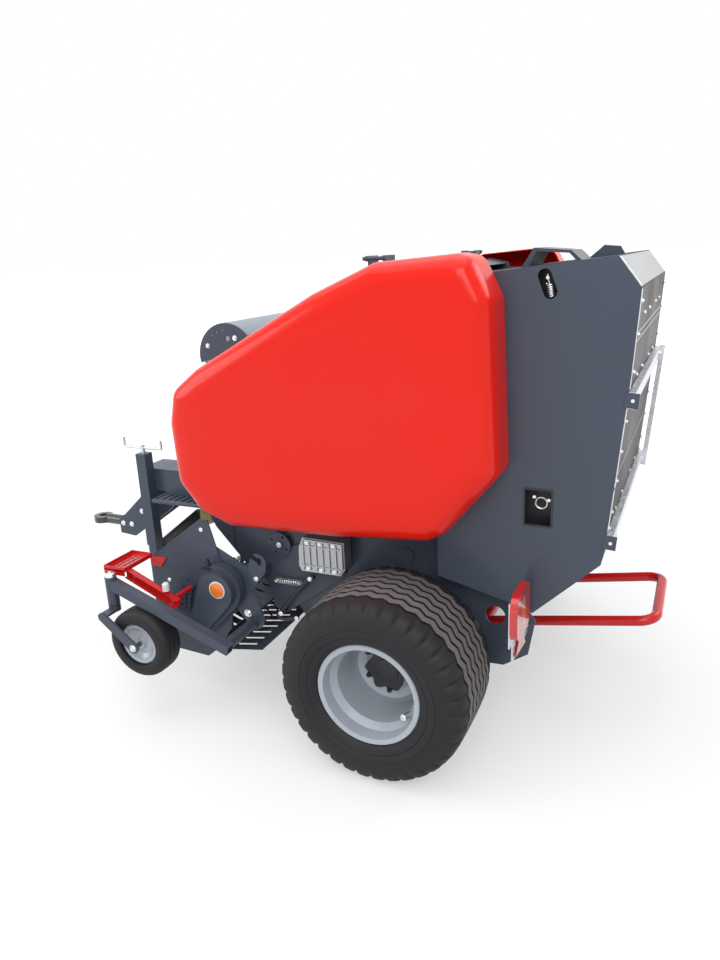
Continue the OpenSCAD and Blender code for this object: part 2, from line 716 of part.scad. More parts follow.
// Ring piece about the gauge arm's rear end, from quad_a[0] to quad_a[1] degrees
quad_r = [375, 448];
quad_a = [2, 25];
quad_hole_r = 7;
module quadrant() {
    translate([arm_x, arm_z]) difference() {
        intersection() {
            difference() {
                circle(quad_r[1], $fn = 96);
                circle(quad_r[0], $fn = 96);
            }
            polygon([[0, 0], 600 * [cos(quad_a[0]), sin(quad_a[0])], 600 * [cos(quad_a[1]), sin(quad_a[1])]]);
        }
        for (k = [0 : 5]) rotate(4 + k * 3.8) {
            translate([398, 0]) circle(quad_hole_r);
            rotate(1.9) translate([426, 0]) circle(quad_hole_r);
        }
    }
}
reel_pin_r = 20;
module pickup_bands() {
    color(grey) from_axle() translate([reel_x, 0, reel_z]) {
        for (i = [0 : 20])
            plate(-725 + i * 70, 50) {
                difference() {
                    circle(185, $fn = 64);
                    circle(182, $fn = 64);
                    polygon([[0, 0], [-108, 300], [-300, 300], [-300, -300], [-52.9, -300]]);
                }
                strip([[-62.6, 174.1], [-330, 120]], -3);
                strip([[-31.6, -179.2], [-290, -133.6]], 3);
            }
        y = pick_face_y - 2 * side_t - seat;
        plate(-y, 2 * y) strip([[-262, 132], [-335, 117.2]], -4);
        plate(-y, 2 * y) strip([[-250, -138.6], [-315, -127.2]], 4);
    }
}
module pickup_reel() {
    color(dark) from_axle() translate([reel_x, 0, reel_z]) {
        bar_y(0, 0, -pick_face_y + 1, pick_face_y - 1, reel_pin_r);
        for (k = [0 : 4]) rotate([0, k * 72, 0]) {
            bar_y(0, 130, -715, 715, 14);
            for (i = [0 : 19])
                translate([-4, -669 + i * 70, 136]) cube([8, 8, tine_reach - 136]);
        }
        // discs that carry the tine bars
        for (y = [-694, -4, 686])
            plate(y, 8) difference() {
                circle(124);
                for (k = [0 : 4]) rotate(k * 72 + 54) translate([74, 0]) circle(26);
            }
    }
}
module pickup_humps() {
    color(grey) from_axle() both_sides() {
        plate(pick_face_y + seat, 50) link([950, 640], [1085, 420], 125, 70);
        plate(pick_face_y + seat + 50, 40) link([950, 640], [1085, 420], 100, 48);
    }
}
// Castor pin, its height range, and the gauge wheel's hub
castor_x = 1455;
castor_y = 1000;
castor_low = 575;
castor_pin_r = 18;
hub_x = 1280;
hub_z = 402;
gauge_pin_r = 12;
// Rear end of the gauge arm
arm_x = 794;
arm_z = 455;
module gauge_arms() {
    l = norm([castor_x - arm_x, 690 - arm_z]);
    color(grey) from_axle() both_sides() difference() {
        union() {
            translate([arm_x, castor_y - 25, arm_z]) rotate([0, -atan2(690 - arm_z, castor_x - arm_x), 0])
                difference() {
                    translate([-30, 0, -25]) cube([l + 30, 50, 50]);
                    translate([-31, 4, -21]) cube([l - 60, 42, 42]);
                }
            bar_y(arm_x, arm_z, pick_face_y - side_t + seat, castor_y - 24, 28);
        }
        translate([castor_x, castor_y, castor_low - 1]) cylinder(h = 200, r = sleeve_r + seat);
    }
}
sleeve_r = 30;
module castor_sleeves() {
    color(grey) from_axle() both_sides() difference() {
        translate([castor_x, castor_y, castor_low]) cylinder(h = 150, r = sleeve_r);
        translate([castor_x, castor_y, castor_low - 1]) cylinder(h = 200, r = castor_pin_r + run);
    }
}
module wheel_guards() {
    color(frame_red) from_axle() both_sides() {
        difference() {
            block([1395, pick_face_y + seat, 738], [1530, 960, 744]);
            for (x = [1415, 1445, 1475, 1505]) block([x - 6, 775, 737], [x + 6, 935, 745]);
        }
        plate(pick_face_y + seat, 8) polygon([[1300, 745], [1405, 745], [1405, 690], [1340, 690]]);
    }
}
module castor() {
    translate([castor_x, castor_y, castor_low - 35]) {
        cylinder(h = 30, r = 30);
        cylinder(h = 185, r = castor_pin_r);
        block([-25, 0, 0], [25, 97, 12]);
    }
    plate(castor_y + 85, 12) link([castor_x, castor_low - 35], [hub_x, hub_z], 25, 28);
    bar_y(hub_x, hub_z, castor_y - 36, castor_y + 86, gauge_pin_r);
}
// Gauge tyre on its rim, which has a dish and two flanges
gauge_rim_r = 90;
module gauge_wheel() {
    r = gauge_d / 2;
    w = gauge_w / 2;
    b = gauge_rim_r;
    translate([hub_x, castor_y, hub_z]) rotate([-90, 0, 0]) rotate_extrude()
        polygon([[b + seat, -w + 26], [b + 22, -w + 26], [b + 22, -w + 4], [b + 30, -w], [r - 20, -w + 4], [r, -w + 30],
            [r, w - 30], [r - 20, w - 4], [b + 30, w], [b + 22, w - 4], [b + 22, w - 26], [b + seat, w - 26]]);
}
module gauge_rim() {
    w = gauge_w / 2;
    b = gauge_rim_r;
    translate([hub_x, castor_y, hub_z]) rotate([-90, 0, 0]) rotate_extrude()
        polygon([[gauge_pin_r + run, -30], [28, -30], [28, -4], [70, 6], [b - 6, 0], [b - 6, -w + 20], [b + 21, -w + 20],
            [b + 21, -w + 26 - seat], [b, -w + 26 - seat], [b, w - 26 + seat], [b + 21, w - 26 + seat],
            [b + 21, w - 20], [b - 6, w - 20], [b - 6, 6], [70, 12], [28, 2], [28, 30], [gauge_pin_r + run, 30]]);
}
module castor_left() { color(grey) from_axle() castor(); }
module castor_right() { color(grey) from_axle() mirror([0, 1, 0]) castor(); }
module gauge_wheel_left() { color(black) from_axle() gauge_wheel(); }
module gauge_wheel_right() { color(black) from_axle() mirror([0, 1, 0]) gauge_wheel(); }
module gauge_rim_left() { color(silver) from_axle() gauge_rim(); }
module gauge_rim_right() { color(silver) from_axle() mirror([0, 1, 0]) gauge_rim(); }

// Bale ramp
ramp_x = -280;
ramp_z = 420;
ramp_bend = 75;
ramp_rise = 9.7;
module bale_ramp() {
    r = ramp_tube_r;
    // length of the ramp's plane from the pivot to the rear tube's centre
    l = (ramp_x + ramp_reach - r) / cos(ramp_rise);
    color(frame_red) from_axle() difference() {
        translate([ramp_x, 0, ramp_z]) rotate([0, ramp_rise, 0]) {
            both_sides() {
                bar([-l + ramp_bend, ramp_half, 0], [0, ramp_half, 0], r);
                translate([-l + ramp_bend, ramp_half - ramp_bend, 0]) rotate([0, 0, 90])
                    rotate_extrude(angle = 90) translate([ramp_bend, 0]) circle(r);
            }
            bar_y(-l, 0, -ramp_half + ramp_bend, ramp_half - ramp_bend, r);
            bar_y(0, 0, -wall_in + pass, wall_in - pass, r + 4);
        }
        both_sides() bar_y(ramp_x, ramp_z, wall_in - 60, wall_in, ramp_pin_r + run);
    }
}

chassis_walls();
cross_members();
axle_beam();
drawbar();
hitch_eye();
jack_tube();
jack_crank();
drawbar_step();
gearbox();
pto_cone();
chamber_rollers();
feed_floor();
net_box();
net_roll();
top_sheet();
chain_drive();
rotor_housing();
lift_spring();
lamp_brackets();
tail_lamps();
tyre_left();
rim_left();
tyre_right();
rim_right();
gate_panels();
gate_walls();
gate_sheet();
gate_bars();
gate_rollers();
gate_top();
cover_left();
cover_right();
ram_barrel_left();
ram_rod_left();
ram_barrel_right();
ram_rod_right();
pickup_frame();
pickup_bands();
pickup_humps();
gauge_arms();
castor_sleeves();
wheel_guards();
pickup_reel();
feed_rotor();
castor_left();
gauge_wheel_left();
gauge_rim_left();
castor_right();
gauge_wheel_right();
gauge_rim_right();
jack_leg();
bale_ramp();
pto_shaft();
net_lid();
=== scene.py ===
"""Looks of a towed round baler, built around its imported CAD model.

Metres throughout. +X points to the tractor, +Y to the machine's left, +Z up.
Places are given from the middle of the axle: at(x, y, z) turns them into the model's frame.
"""

import math

import bmesh
import bpy
from mathutils import Matrix, Vector


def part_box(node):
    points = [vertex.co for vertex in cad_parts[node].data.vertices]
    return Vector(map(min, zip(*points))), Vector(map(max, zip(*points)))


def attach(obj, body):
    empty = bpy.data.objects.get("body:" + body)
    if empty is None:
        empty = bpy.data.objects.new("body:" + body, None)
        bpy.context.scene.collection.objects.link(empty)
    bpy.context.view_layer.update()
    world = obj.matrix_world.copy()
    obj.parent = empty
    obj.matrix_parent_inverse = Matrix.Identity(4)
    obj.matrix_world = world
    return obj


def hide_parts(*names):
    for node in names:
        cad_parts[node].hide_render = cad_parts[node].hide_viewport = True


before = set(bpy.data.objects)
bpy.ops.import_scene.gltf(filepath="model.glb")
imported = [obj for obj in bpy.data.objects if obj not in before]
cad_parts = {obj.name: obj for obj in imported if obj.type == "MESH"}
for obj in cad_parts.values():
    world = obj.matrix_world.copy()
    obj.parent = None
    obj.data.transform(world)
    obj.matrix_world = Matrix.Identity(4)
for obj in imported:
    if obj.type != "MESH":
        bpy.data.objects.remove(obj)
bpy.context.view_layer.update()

TAU = 2 * math.pi
SIDES = (("left", 1), ("right", -1))
LEFTWARDS = (0, 1, 0)


def node_middle(node):
    low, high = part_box(node)
    return (low + high) / 2


AXLE_X = node_middle("rim_left").x
WHEEL_Z = node_middle("tyre_left").z
TRACK_HALF = node_middle("tyre_left").y
TYRE_R = WHEEL_Z
TYRE_HALF = (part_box("tyre_left")[1].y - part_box("tyre_left")[0].y) / 2


def at(x, y, z):
    """A point counted from the middle of the axle's ground line."""
    return Vector((x + AXLE_X, y, z))


# Camera

CAMERA_FROM_AXLE = (-1.192, 3.624, 2.230)
CAMERA_YAW = 0.4389
CAMERA_PITCH = 0.2934
CAMERA_ROLL = -0.0455
CAMERA_LENS = 28.125


def add_camera():
    """The photograph's point of view; yaw turns from -Y towards +X and pitch looks down."""
    yaw, pitch, roll = CAMERA_YAW, CAMERA_PITCH, CAMERA_ROLL
    ahead = Vector((math.sin(yaw) * math.cos(pitch), -math.cos(yaw) * math.cos(pitch), -math.sin(pitch)))
    level_right = Vector((-math.cos(yaw), -math.sin(yaw), 0))
    level_up = level_right.cross(ahead)
    right = math.cos(roll) * level_right + math.sin(roll) * level_up
    up = -math.sin(roll) * level_right + math.cos(roll) * level_up
    data = bpy.data.cameras.new("camera")
    data.sensor_width = 36
    data.lens = CAMERA_LENS
    camera = bpy.data.objects.new("camera", data)
    turn = Matrix((right, up, -ahead)).transposed().to_4x4()
    camera.matrix_world = Matrix.Translation(at(*CAMERA_FROM_AXLE)) @ turn
    bpy.context.collection.objects.link(camera)
    bpy.context.scene.camera = camera


add_camera()


# Node groups shared by the materials


def new_group(name, inputs, outputs):
    """A shader node group; inputs are (name, type, default), outputs are (name, type)."""
    group = bpy.data.node_groups.new(name, "ShaderNodeTree")
    for label, kind, default in inputs:
        socket = group.interface.new_socket(label, in_out="INPUT", socket_type=kind)
        socket.default_value = default
    for label, kind in outputs:
        group.interface.new_socket(label, in_out="OUTPUT", socket_type=kind)
    nodes = group.nodes
    return group, nodes, group.links.new, nodes.new("NodeGroupInput"), nodes.new("NodeGroupOutput")


def feed(link, socket, value):
    """Give an input its value, or the socket that it is taken from."""
    if isinstance(value, bpy.types.NodeSocket):
        link(value, socket)
    else:
        socket.default_value = value


def add_mix(nodes, link, factor, a, b):
    """A colour mix; factor, a and b are sockets or values."""
    mix = nodes.new("ShaderNodeMix")
    mix.data_type = "RGBA"
    for socket, value in ((mix.inputs["Factor"], factor), (mix.inputs[6], a), (mix.inputs[7], b)):
        feed(link, socket, value)
    return mix.outputs[2]


def add_math(nodes, link, operation, *values):
    """One step of arithmetic; each value is a socket or a number."""
    step = nodes.new("ShaderNodeMath")
    step.operation = operation
    for socket, value in zip(step.inputs, values):
        feed(link, socket, value)
    return step.outputs[0]


def add_noise(nodes, link, position, scale, detail=2.0):
    """A noise value at position; scale is a socket or a value."""
    texture = nodes.new("ShaderNodeTexNoise")
    texture.inputs["Detail"].default_value = detail
    link(position, texture.inputs["Vector"])
    feed(link, texture.inputs["Scale"], scale)
    return texture.outputs["Fac"]


def add_range(nodes, link, value, low, high, to_low=0.0, to_high=1.0):
    """Value taken from the span low to high to the span to_low to to_high, and held at its ends."""
    step = nodes.new("ShaderNodeMapRange")
    link(value, step.inputs["Value"])
    for label, number in (("From Min", low), ("From Max", high), ("To Min", to_low), ("To Max", to_high)):
        step.inputs[label].default_value = number
    return step.outputs["Result"]


def dust_group():
    """Dust that settles low down and on faces that look up."""
    group, nodes, link, inlet, outlet = new_group(
        "settled_dust",
        [
            ("Color", "NodeSocketColor", (0.5, 0.5, 0.5, 1)),
            ("Dust Color", "NodeSocketColor", (0.30, 0.26, 0.22, 1)),
            ("Amount", "NodeSocketFloat", 0.3),
            ("Roughness", "NodeSocketFloat", 0.4),
        ],
        [("Color", "NodeSocketColor"), ("Roughness", "NodeSocketFloat")],
    )
    geometry = nodes.new("ShaderNodeNewGeometry")
    normal = nodes.new("ShaderNodeSeparateXYZ")
    link(geometry.outputs["Normal"], normal.inputs[0])
    place = nodes.new("ShaderNodeSeparateXYZ")
    link(geometry.outputs["Position"], place.inputs[0])
    up = add_range(nodes, link, normal.outputs["Z"], 0.1, 1.0, 0.15, 1.0)
    low = add_range(nodes, link, place.outputs["Z"], 0.1, 1.6, 1.0, 0.25)
    patches = add_noise(nodes, link, geometry.outputs["Position"], 9.0, 5.0)
    patches = add_range(nodes, link, patches, 0.35, 0.7)
    grain = add_range(nodes, link, add_noise(nodes, link, geometry.outputs["Position"], 160.0, 3.0), 0.3, 0.7)
    mask = add_math(nodes, link, "MULTIPLY", up, low)
    mask = add_math(nodes, link, "MULTIPLY", mask, add_math(nodes, link, "MULTIPLY_ADD", patches, 0.7, 0.3))
    mask = add_math(nodes, link, "MULTIPLY", mask, add_math(nodes, link, "MULTIPLY_ADD", grain, 0.5, 0.5))
    mask = add_math(nodes, link, "MULTIPLY", mask, inlet.outputs["Amount"])
    dusty = add_mix(nodes, link, mask, inlet.outputs["Color"], inlet.outputs["Dust Color"])
    link(dusty, outlet.inputs["Color"])
    rough = add_math(nodes, link, "MULTIPLY_ADD", mask, 0.6, inlet.outputs["Roughness"])
    link(rough, outlet.inputs["Roughness"])
    return group


def tone_group():
    """Slow changes of shade and gloss over a painted or plated surface."""
    group, nodes, link, inlet, outlet = new_group(
        "slow_tone",
        [
            ("Color", "NodeSocketColor", (0.5, 0.5, 0.5, 1)),
            ("Roughness", "NodeSocketFloat", 0.4),
            ("Tone", "NodeSocketFloat", 0.1),
            ("Scale", "NodeSocketFloat", 5.0),
        ],
        [("Color", "NodeSocketColor"), ("Roughness", "NodeSocketFloat")],
    )
    geometry = nodes.new("ShaderNodeNewGeometry")
    cloud = add_noise(nodes, link, geometry.outputs["Position"], inlet.outputs["Scale"], 4.0)
    shift = add_math(nodes, link, "SUBTRACT", cloud, 0.5)
    gain = add_math(nodes, link, "MULTIPLY_ADD", shift, inlet.outputs["Tone"], 1.0)
    scaled = nodes.new("ShaderNodeVectorMath")
    scaled.operation = "SCALE"
    link(inlet.outputs["Color"], scaled.inputs[0])
    link(gain, scaled.inputs["Scale"])
    link(scaled.outputs[0], outlet.inputs["Color"])
    rough = add_math(nodes, link, "MULTIPLY_ADD", shift, 0.25, inlet.outputs["Roughness"])
    link(rough, outlet.inputs["Roughness"])
    return group


def grain_group():
    """Fine relief: orange peel on paint, casting skin or rubber grain."""
    group, nodes, link, inlet, outlet = new_group(
        "fine_grain",
        [
            ("Scale", "NodeSocketFloat", 200.0),
            ("Height", "NodeSocketFloat", 0.0002),
        ],
        [("Normal", "NodeSocketVector")],
    )
    geometry = nodes.new("ShaderNodeNewGeometry")
    relief = add_noise(nodes, link, geometry.outputs["Position"], inlet.outputs["Scale"], 3.0)
    bump = nodes.new("ShaderNodeBump")
    bump.inputs["Strength"].default_value = 1.0
    link(inlet.outputs["Height"], bump.inputs["Distance"])
    link(relief, bump.inputs["Height"])
    link(bump.outputs["Normal"], outlet.inputs["Normal"])
    return group


def spangle_group():
    """The crystal pattern of zinc plating."""
    group, nodes, link, inlet, outlet = new_group(
        "zinc_spangle",
        [
            ("Color", "NodeSocketColor", (0.6, 0.62, 0.64, 1)),
            ("Scale", "NodeSocketFloat", 60.0),
            ("Contrast", "NodeSocketFloat", 0.25),
            ("Roughness", "NodeSocketFloat", 0.35),
        ],
        [("Color", "NodeSocketColor"), ("Roughness", "NodeSocketFloat")],
    )
    geometry = nodes.new("ShaderNodeNewGeometry")
    cells = nodes.new("ShaderNodeTexVoronoi")
    link(geometry.outputs["Position"], cells.inputs["Vector"])
    link(inlet.outputs["Scale"], cells.inputs["Scale"])
    shade = nodes.new("ShaderNodeSeparateColor")
    link(cells.outputs["Color"], shade.inputs[0])
    shift = add_math(nodes, link, "SUBTRACT", shade.outputs[0], 0.5)
    gain = add_math(nodes, link, "MULTIPLY_ADD", shift, inlet.outputs["Contrast"], 1.0)
    scaled = nodes.new("ShaderNodeVectorMath")
    scaled.operation = "SCALE"
    link(inlet.outputs["Color"], scaled.inputs[0])
    link(gain, scaled.inputs["Scale"])
    link(scaled.outputs[0], outlet.inputs["Color"])
    rough = add_math(nodes, link, "MULTIPLY_ADD", shift, 0.2, inlet.outputs["Roughness"])
    link(rough, outlet.inputs["Roughness"])
    return group


DUST = dust_group()
TONE = tone_group()
GRAIN = grain_group()
SPANGLE = spangle_group()


def add_group(material, group, **values):
    step = material.node_tree.nodes.new("ShaderNodeGroup")
    step.node_tree = group
    for label, value in values.items():
        step.inputs[label.replace("_", " ")].default_value = value
    return step


COAT_ROUGHNESS = 0.08


def finish(name, color, roughness, metallic=0.0, tone=0.1, tone_scale=5.0, dust=0.0,
           grain=(200.0, 0.0002), coat=0.0, zinc=None, specular=0.5):
    """A material made of the shared groups.

    color is linear RGB, grain is (scale, height in metres) and zinc, where given, is (scale, contrast).
    """
    material = bpy.data.materials.new(name)
    material.use_nodes = True
    tree = material.node_tree
    shader = tree.nodes["Principled BSDF"]
    shader.inputs["Metallic"].default_value = metallic
    shader.inputs["Specular IOR Level"].default_value = specular
    shader.inputs["Coat Weight"].default_value = coat
    shader.inputs["Coat Roughness"].default_value = COAT_ROUGHNESS
    rgba = (*color, 1)
    if zinc:
        base = add_group(material, SPANGLE, Color=rgba, Scale=zinc[0], Contrast=zinc[1], Roughness=roughness)
    else:
        base = add_group(material, TONE, Color=rgba, Roughness=roughness, Tone=tone, Scale=tone_scale)
    last = base
    if dust:
        last = add_group(material, DUST, Amount=dust)
        tree.links.new(base.outputs["Color"], last.inputs["Color"])
        tree.links.new(base.outputs["Roughness"], last.inputs["Roughness"])
    tree.links.new(last.outputs["Color"], shader.inputs["Base Color"])
    tree.links.new(last.outputs["Roughness"], shader.inputs["Roughness"])
    relief = add_group(material, GRAIN, Scale=grain[0], Height=grain[1])
    tree.links.new(relief.outputs["Normal"], shader.inputs["Normal"])
    return material


SLATE = finish("slate_paint", (0.056, 0.070, 0.098), 0.34, tone=0.12, dust=0.10, grain=(260.0, 0.00012),
               coat=0.08, specular=0.28)
DARK = finish("dark_gloss_paint", (0.030, 0.033, 0.038), 0.18, tone=0.15, grain=(160.0, 0.0001), coat=0.4)
COVER_RED = finish("cover_red", (0.78, 0.012, 0.003), 0.19, tone=0.03, tone_scale=2.0, grain=(90.0, 0.00006),
                   coat=0.08, specular=0.22)
FRAME_RED = finish("frame_red_paint", (0.60, 0.012, 0.012), 0.22, dust=0.06, coat=0.15, specular=0.3)
ZINC = finish("zinc_plate", (0.60, 0.62, 0.65), 0.36, metallic=0.9, zinc=(70.0, 0.22), grain=(300.0, 0.00008))
BOLT_ZINC = finish("bolt_zinc", (0.72, 0.73, 0.74), 0.30, metallic=0.95, zinc=(400.0, 0.15))
ROLLER = finish("roller_steel", (0.33, 0.33, 0.34), 0.42, metallic=0.85, tone=0.3, tone_scale=12.0)
CHROME = finish("rod_chrome", (0.80, 0.81, 0.82), 0.08, metallic=1.0, tone=0.03)
RIM_SILVER = finish("rim_silver", (0.42, 0.455, 0.50), 0.34, metallic=0.1, tone=0.06, dust=0.10,
                    grain=(350.0, 0.00008), coat=0.2)
RUBBER = finish("tyre_rubber", (0.014, 0.014, 0.016), 0.60, tone=0.25, dust=0.05, grain=(420.0, 0.0002),
                specular=0.3)
TREAD = finish("dusty_tread", (0.150, 0.134, 0.132), 0.85, tone=0.5, tone_scale=14.0, grain=(300.0, 0.0004))
ALUMINIUM = finish("cast_aluminium", (0.42, 0.43, 0.44), 0.38, metallic=0.8, tone=0.2, grain=(330.0, 0.0006))
PLASTIC = finish("black_plastic", (0.018, 0.018, 0.020), 0.45, tone=0.15, grain=(500.0, 0.0002))
LENS_ORANGE = finish("orange_lens", (0.85, 0.20, 0.02), 0.16, tone=0.05, grain=(700.0, 0.0003), coat=0.8)
LENS_RED = finish("red_lens", (0.55, 0.012, 0.012), 0.14, tone=0.05, grain=(700.0, 0.0003), coat=0.8)
NET = finish("net_roll", (0.72, 0.73, 0.70), 0.75, tone=0.15, tone_scale=40.0, grain=(220.0, 0.0012))
REAR_SHEET = finish("rear_sheet", (0.040, 0.026, 0.028), 0.35, tone=0.3, tone_scale=3.0,
                    grain=(60.0, 0.00003), specular=0.03)
LID_SHEET = finish("pale_lid_sheet", (0.27, 0.31, 0.35), 0.36, metallic=0.4, tone=0.06, grain=(300.0, 0.0001))
GUARD_TAN = finish("tan_guard", (0.42, 0.33, 0.12), 0.45, grain=(300.0, 0.0001))
WHITE_PLASTIC = finish("white_plastic", (0.75, 0.75, 0.72), 0.35, tone=0.05, grain=(300.0, 0.0001))

# Material, and the CAD nodes that show it
NODE_FINISH = [
    (SLATE, ["chassis_walls", "cross_members", "axle_beam", "drawbar", "jack_tube", "jack_leg",
             "drawbar_step", "gearbox", "net_box", "top_sheet", "gate_panels", "gate_walls", "gate_top",
             "pickup_frame", "pickup_bands", "pickup_humps", "gauge_arms", "castor_sleeves", "castor_left",
             "castor_right"]),
    (DARK, ["hitch_eye", "feed_floor", "ram_barrel_left", "ram_barrel_right", "pickup_reel"]),
    (COVER_RED, ["cover_left", "cover_right"]),
    (FRAME_RED, ["wheel_guards", "feed_rotor", "bale_ramp"]),
    (ZINC, ["jack_crank", "chain_drive", "gate_bars", "lift_spring", "lamp_brackets"]),
    (ROLLER, ["chamber_rollers", "gate_rollers"]),
    (CHROME, ["ram_rod_left", "ram_rod_right"]),
    (RIM_SILVER, ["rim_left", "rim_right", "gauge_rim_left", "gauge_rim_right"]),
    (RUBBER, ["tyre_left", "tyre_right", "gauge_wheel_left", "gauge_wheel_right"]),
    (ALUMINIUM, ["rotor_housing"]),
    (REAR_SHEET, ["gate_sheet"]),
    (LID_SHEET, ["net_lid"]),
    (GUARD_TAN, ["pto_cone"]),
    (PLASTIC, ["pto_shaft"]),
    (LENS_RED, ["tail_lamps"]),
    (NET, ["net_roll"]),
]


def paint_nodes():
    """The CAD nodes that are still shown get their material."""
    for material, names in NODE_FINISH:
        for name in names:
            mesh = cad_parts[name].data
            mesh.materials.clear()
            mesh.materials.append(material)


paint_nodes()


# Ways of making pieces


def piece(name, mesh, material, body, replaces=(), smooth_angle=35):
    """A mesh becomes a piece of the baler that rides on a CAD body."""
    obj = bpy.data.objects.new(name, mesh)
    bpy.context.collection.objects.link(obj)
    if not mesh.materials:
        mesh.materials.append(material)
    mesh.shade_smooth()
    mark_sharp(mesh, math.radians(smooth_angle))
    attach(obj, body)
    if replaces:
        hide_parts(*replaces)


def mark_sharp(mesh, angle):
    """Keep the edges crisp where two faces meet at more than angle."""
    work = bmesh.new()
    work.from_mesh(mesh)
    for edge in work.edges:
        if len(edge.link_faces) == 2:
            edge.smooth = edge.calc_face_angle(0) < angle
    work.to_mesh(mesh)
    work.free()


def mesh_of(name, verts, faces):
    """A mesh whose faces all look outwards."""
    mesh = bpy.data.meshes.new(name)
    mesh.from_pydata([tuple(v) for v in verts], [], faces)
    mesh.validate()
    work = bmesh.new()
    work.from_mesh(mesh)
    bmesh.ops.recalc_face_normals(work, faces=work.faces)
    work.to_mesh(mesh)
    work.free()
    return mesh


def ring_faces(rings, points):
    """Faces round a closed stack of closed rings with so many points each."""
    return [(i * points + k, i * points + (k + 1) % points,
             (i + 1) % rings * points + (k + 1) % points, (i + 1) % rings * points + k)
            for i in range(rings) for k in range(points)]


def turned_rows(name, rows, centre, side):
    """Rows of (radius, y), spread evenly about the Y axis; side -1 mirrors them in Y."""
    verts = []
    for i, row in enumerate(rows):
        a = TAU * i / len(rows)
        verts += [centre + Vector((r * math.cos(a), side * y, r * math.sin(a))) for r, y in row]
    return mesh_of(name, verts, ring_faces(len(rows), len(rows[0])))


# Road wheels


GROOVES = 8
GROOVE_HALF = 0.0066
GROOVE_DEPTH = 0.012
GROOVE_SLOPE = 0.0015
GROOVE_SWING = 0.0085
CROWN_HALF = 0.196
CROWN_DROP = 0.006
WAVES = 36
TYRE_STEPS = WAVES * 12
NOTCH_HALF = 0.06
LUG_ROUNDING = 0.16
# How deep the notch between two lugs is at each point of the profile
SHOULDER_CUTS = [0.013, 0.015, 0.016, 0.010, 0.003] + [0] * 9
# The dusty crown: how far in from the tyre's radius and how wide
DUSTY_BELOW = 0.0055
DUSTY_HALF = 0.156
# The bead and the inside of the tyre, as (radius, y)
TYRE_INSIDE = [
    (0.215, 0.205), (0.215, 0.180), (0.235, 0.180), (0.235, -0.180), (0.215, -0.180), (0.215, -0.205),
]


def tyre_profile():
    """Half of the tyre's outside, from the crown to the bead: (radius, y)."""
    return [
        (TYRE_R - 0.010, 0.196), (TYRE_R - 0.020, 0.213), (TYRE_R - 0.034, 0.226), (TYRE_R - 0.060, 0.236),
        (TYRE_R - 0.085, TYRE_HALF - 0.003), (TYRE_R - 0.115, TYRE_HALF), (TYRE_R - 0.119, TYRE_HALF - 0.003),
        (TYRE_R - 0.123, TYRE_HALF - 0.0005), (TYRE_R - 0.150, 0.238), (TYRE_R - 0.154, 0.2335),
        (TYRE_R - 0.158, 0.2355), (TYRE_R - 0.175, 0.228), (0.242, 0.216), (0.2385, 0.209),
    ]


def tread_row(a):
    """Points across the crown at angle a: grooves wander from side to side as they go round."""
    wave = GROOVE_SWING * math.asin(math.sin(a * WAVES)) / (math.pi / 2)
    top, foot = GROOVE_HALF + GROOVE_SLOPE, GROOVE_HALF - GROOVE_SLOPE
    points = []
    for k in range(1, GROOVES):
        y = -CROWN_HALF + 2 * CROWN_HALF * k / GROOVES + wave
        crown = TYRE_R - CROWN_DROP * (y / CROWN_HALF) ** 2
        floor = crown - GROOVE_DEPTH
        points += [(crown, y - top), (floor, y - foot), (floor, y + foot), (crown, y + top)]
    return points


def shoulder(a, sign):
    """1 on a lug of the shoulder and 0 in the notch between two, at angle a."""
    phase = (a * WAVES / TAU + (0.5 if sign < 0 else 0)) % 1
    away = min(phase, 1 - phase)
    return min(1.0, max(0.0, away - NOTCH_HALF) / LUG_ROUNDING) ** 0.5


def tyre_half(a, sign):
    """The profile at angle a with the notches cut into it; sign -1 is the half nearer the machine."""
    notch = 1 - shoulder(a, sign)
    return [(r - cut * notch, sign * y) for (r, y), cut in zip(tyre_profile(), SHOULDER_CUTS)]


def tyre_row(a):
    """The tyre's whole section at angle a."""
    return tyre_half(a, -1)[::-1] + tread_row(a) + tyre_half(a, 1) + TYRE_INSIDE


def tyre_mesh(name, centre, side):
    """The tyre, with the dusty tread material on the crown but not in its grooves."""
    mesh = turned_rows(name, [tyre_row(TAU * i / TYRE_STEPS) for i in range(TYRE_STEPS)], centre, side)
    mesh.materials.append(RUBBER)
    mesh.materials.append(TREAD)
    radius = [math.hypot(v.co.x - centre.x, v.co.z - centre.z) for v in mesh.vertices]
    for face in mesh.polygons:
        on_crown = min(radius[i] for i in face.vertices) > TYRE_R - DUSTY_BELOW
        if on_crown and abs(face.center.y - centre.y) < DUSTY_HALF:
            face.material_index = 1
    return mesh


for label, side in SIDES:
    name = "road_tyre_" + label
    mesh = tyre_mesh(name, at(0, side * TRACK_HALF, WHEEL_Z), side)
    piece(name, mesh, RUBBER, "wheel_" + label, replaces=["tyre_" + label], smooth_angle=38)


# Shapes, counted from the axle: each is a pair of points and faces


def circle_about(centre, along, r, steps):
    """Points of a circle about centre, square to along."""
    along = along.normalized()
    across = along.orthogonal().normalized()
    other = along.cross(across)
    return [centre + across * r * math.cos(TAU * k / steps) + other * r * math.sin(TAU * k / steps)
            for k in range(steps)]


def stacked(rings):
    """Open rings with as many points each, one after the other, closed at both ends."""
    n = len(rings[0])
    verts = [v for ring in rings for v in ring]
    faces = [(i * n + k, i * n + (k + 1) % n, i * n + n + (k + 1) % n, i * n + n + k)
             for i in range(len(rings) - 1) for k in range(n)]
    last = len(verts) - n
    return verts, faces + [tuple(range(n)), tuple(range(last, last + n))]


def spun(a, b, profile, steps=32):
    """Radii along the line from a to b, as (share of the length, radius)."""
    a, b = Vector(a), Vector(b)
    return stacked([circle_about(a.lerp(b, share), b - a, radius, steps) for share, radius in profile])


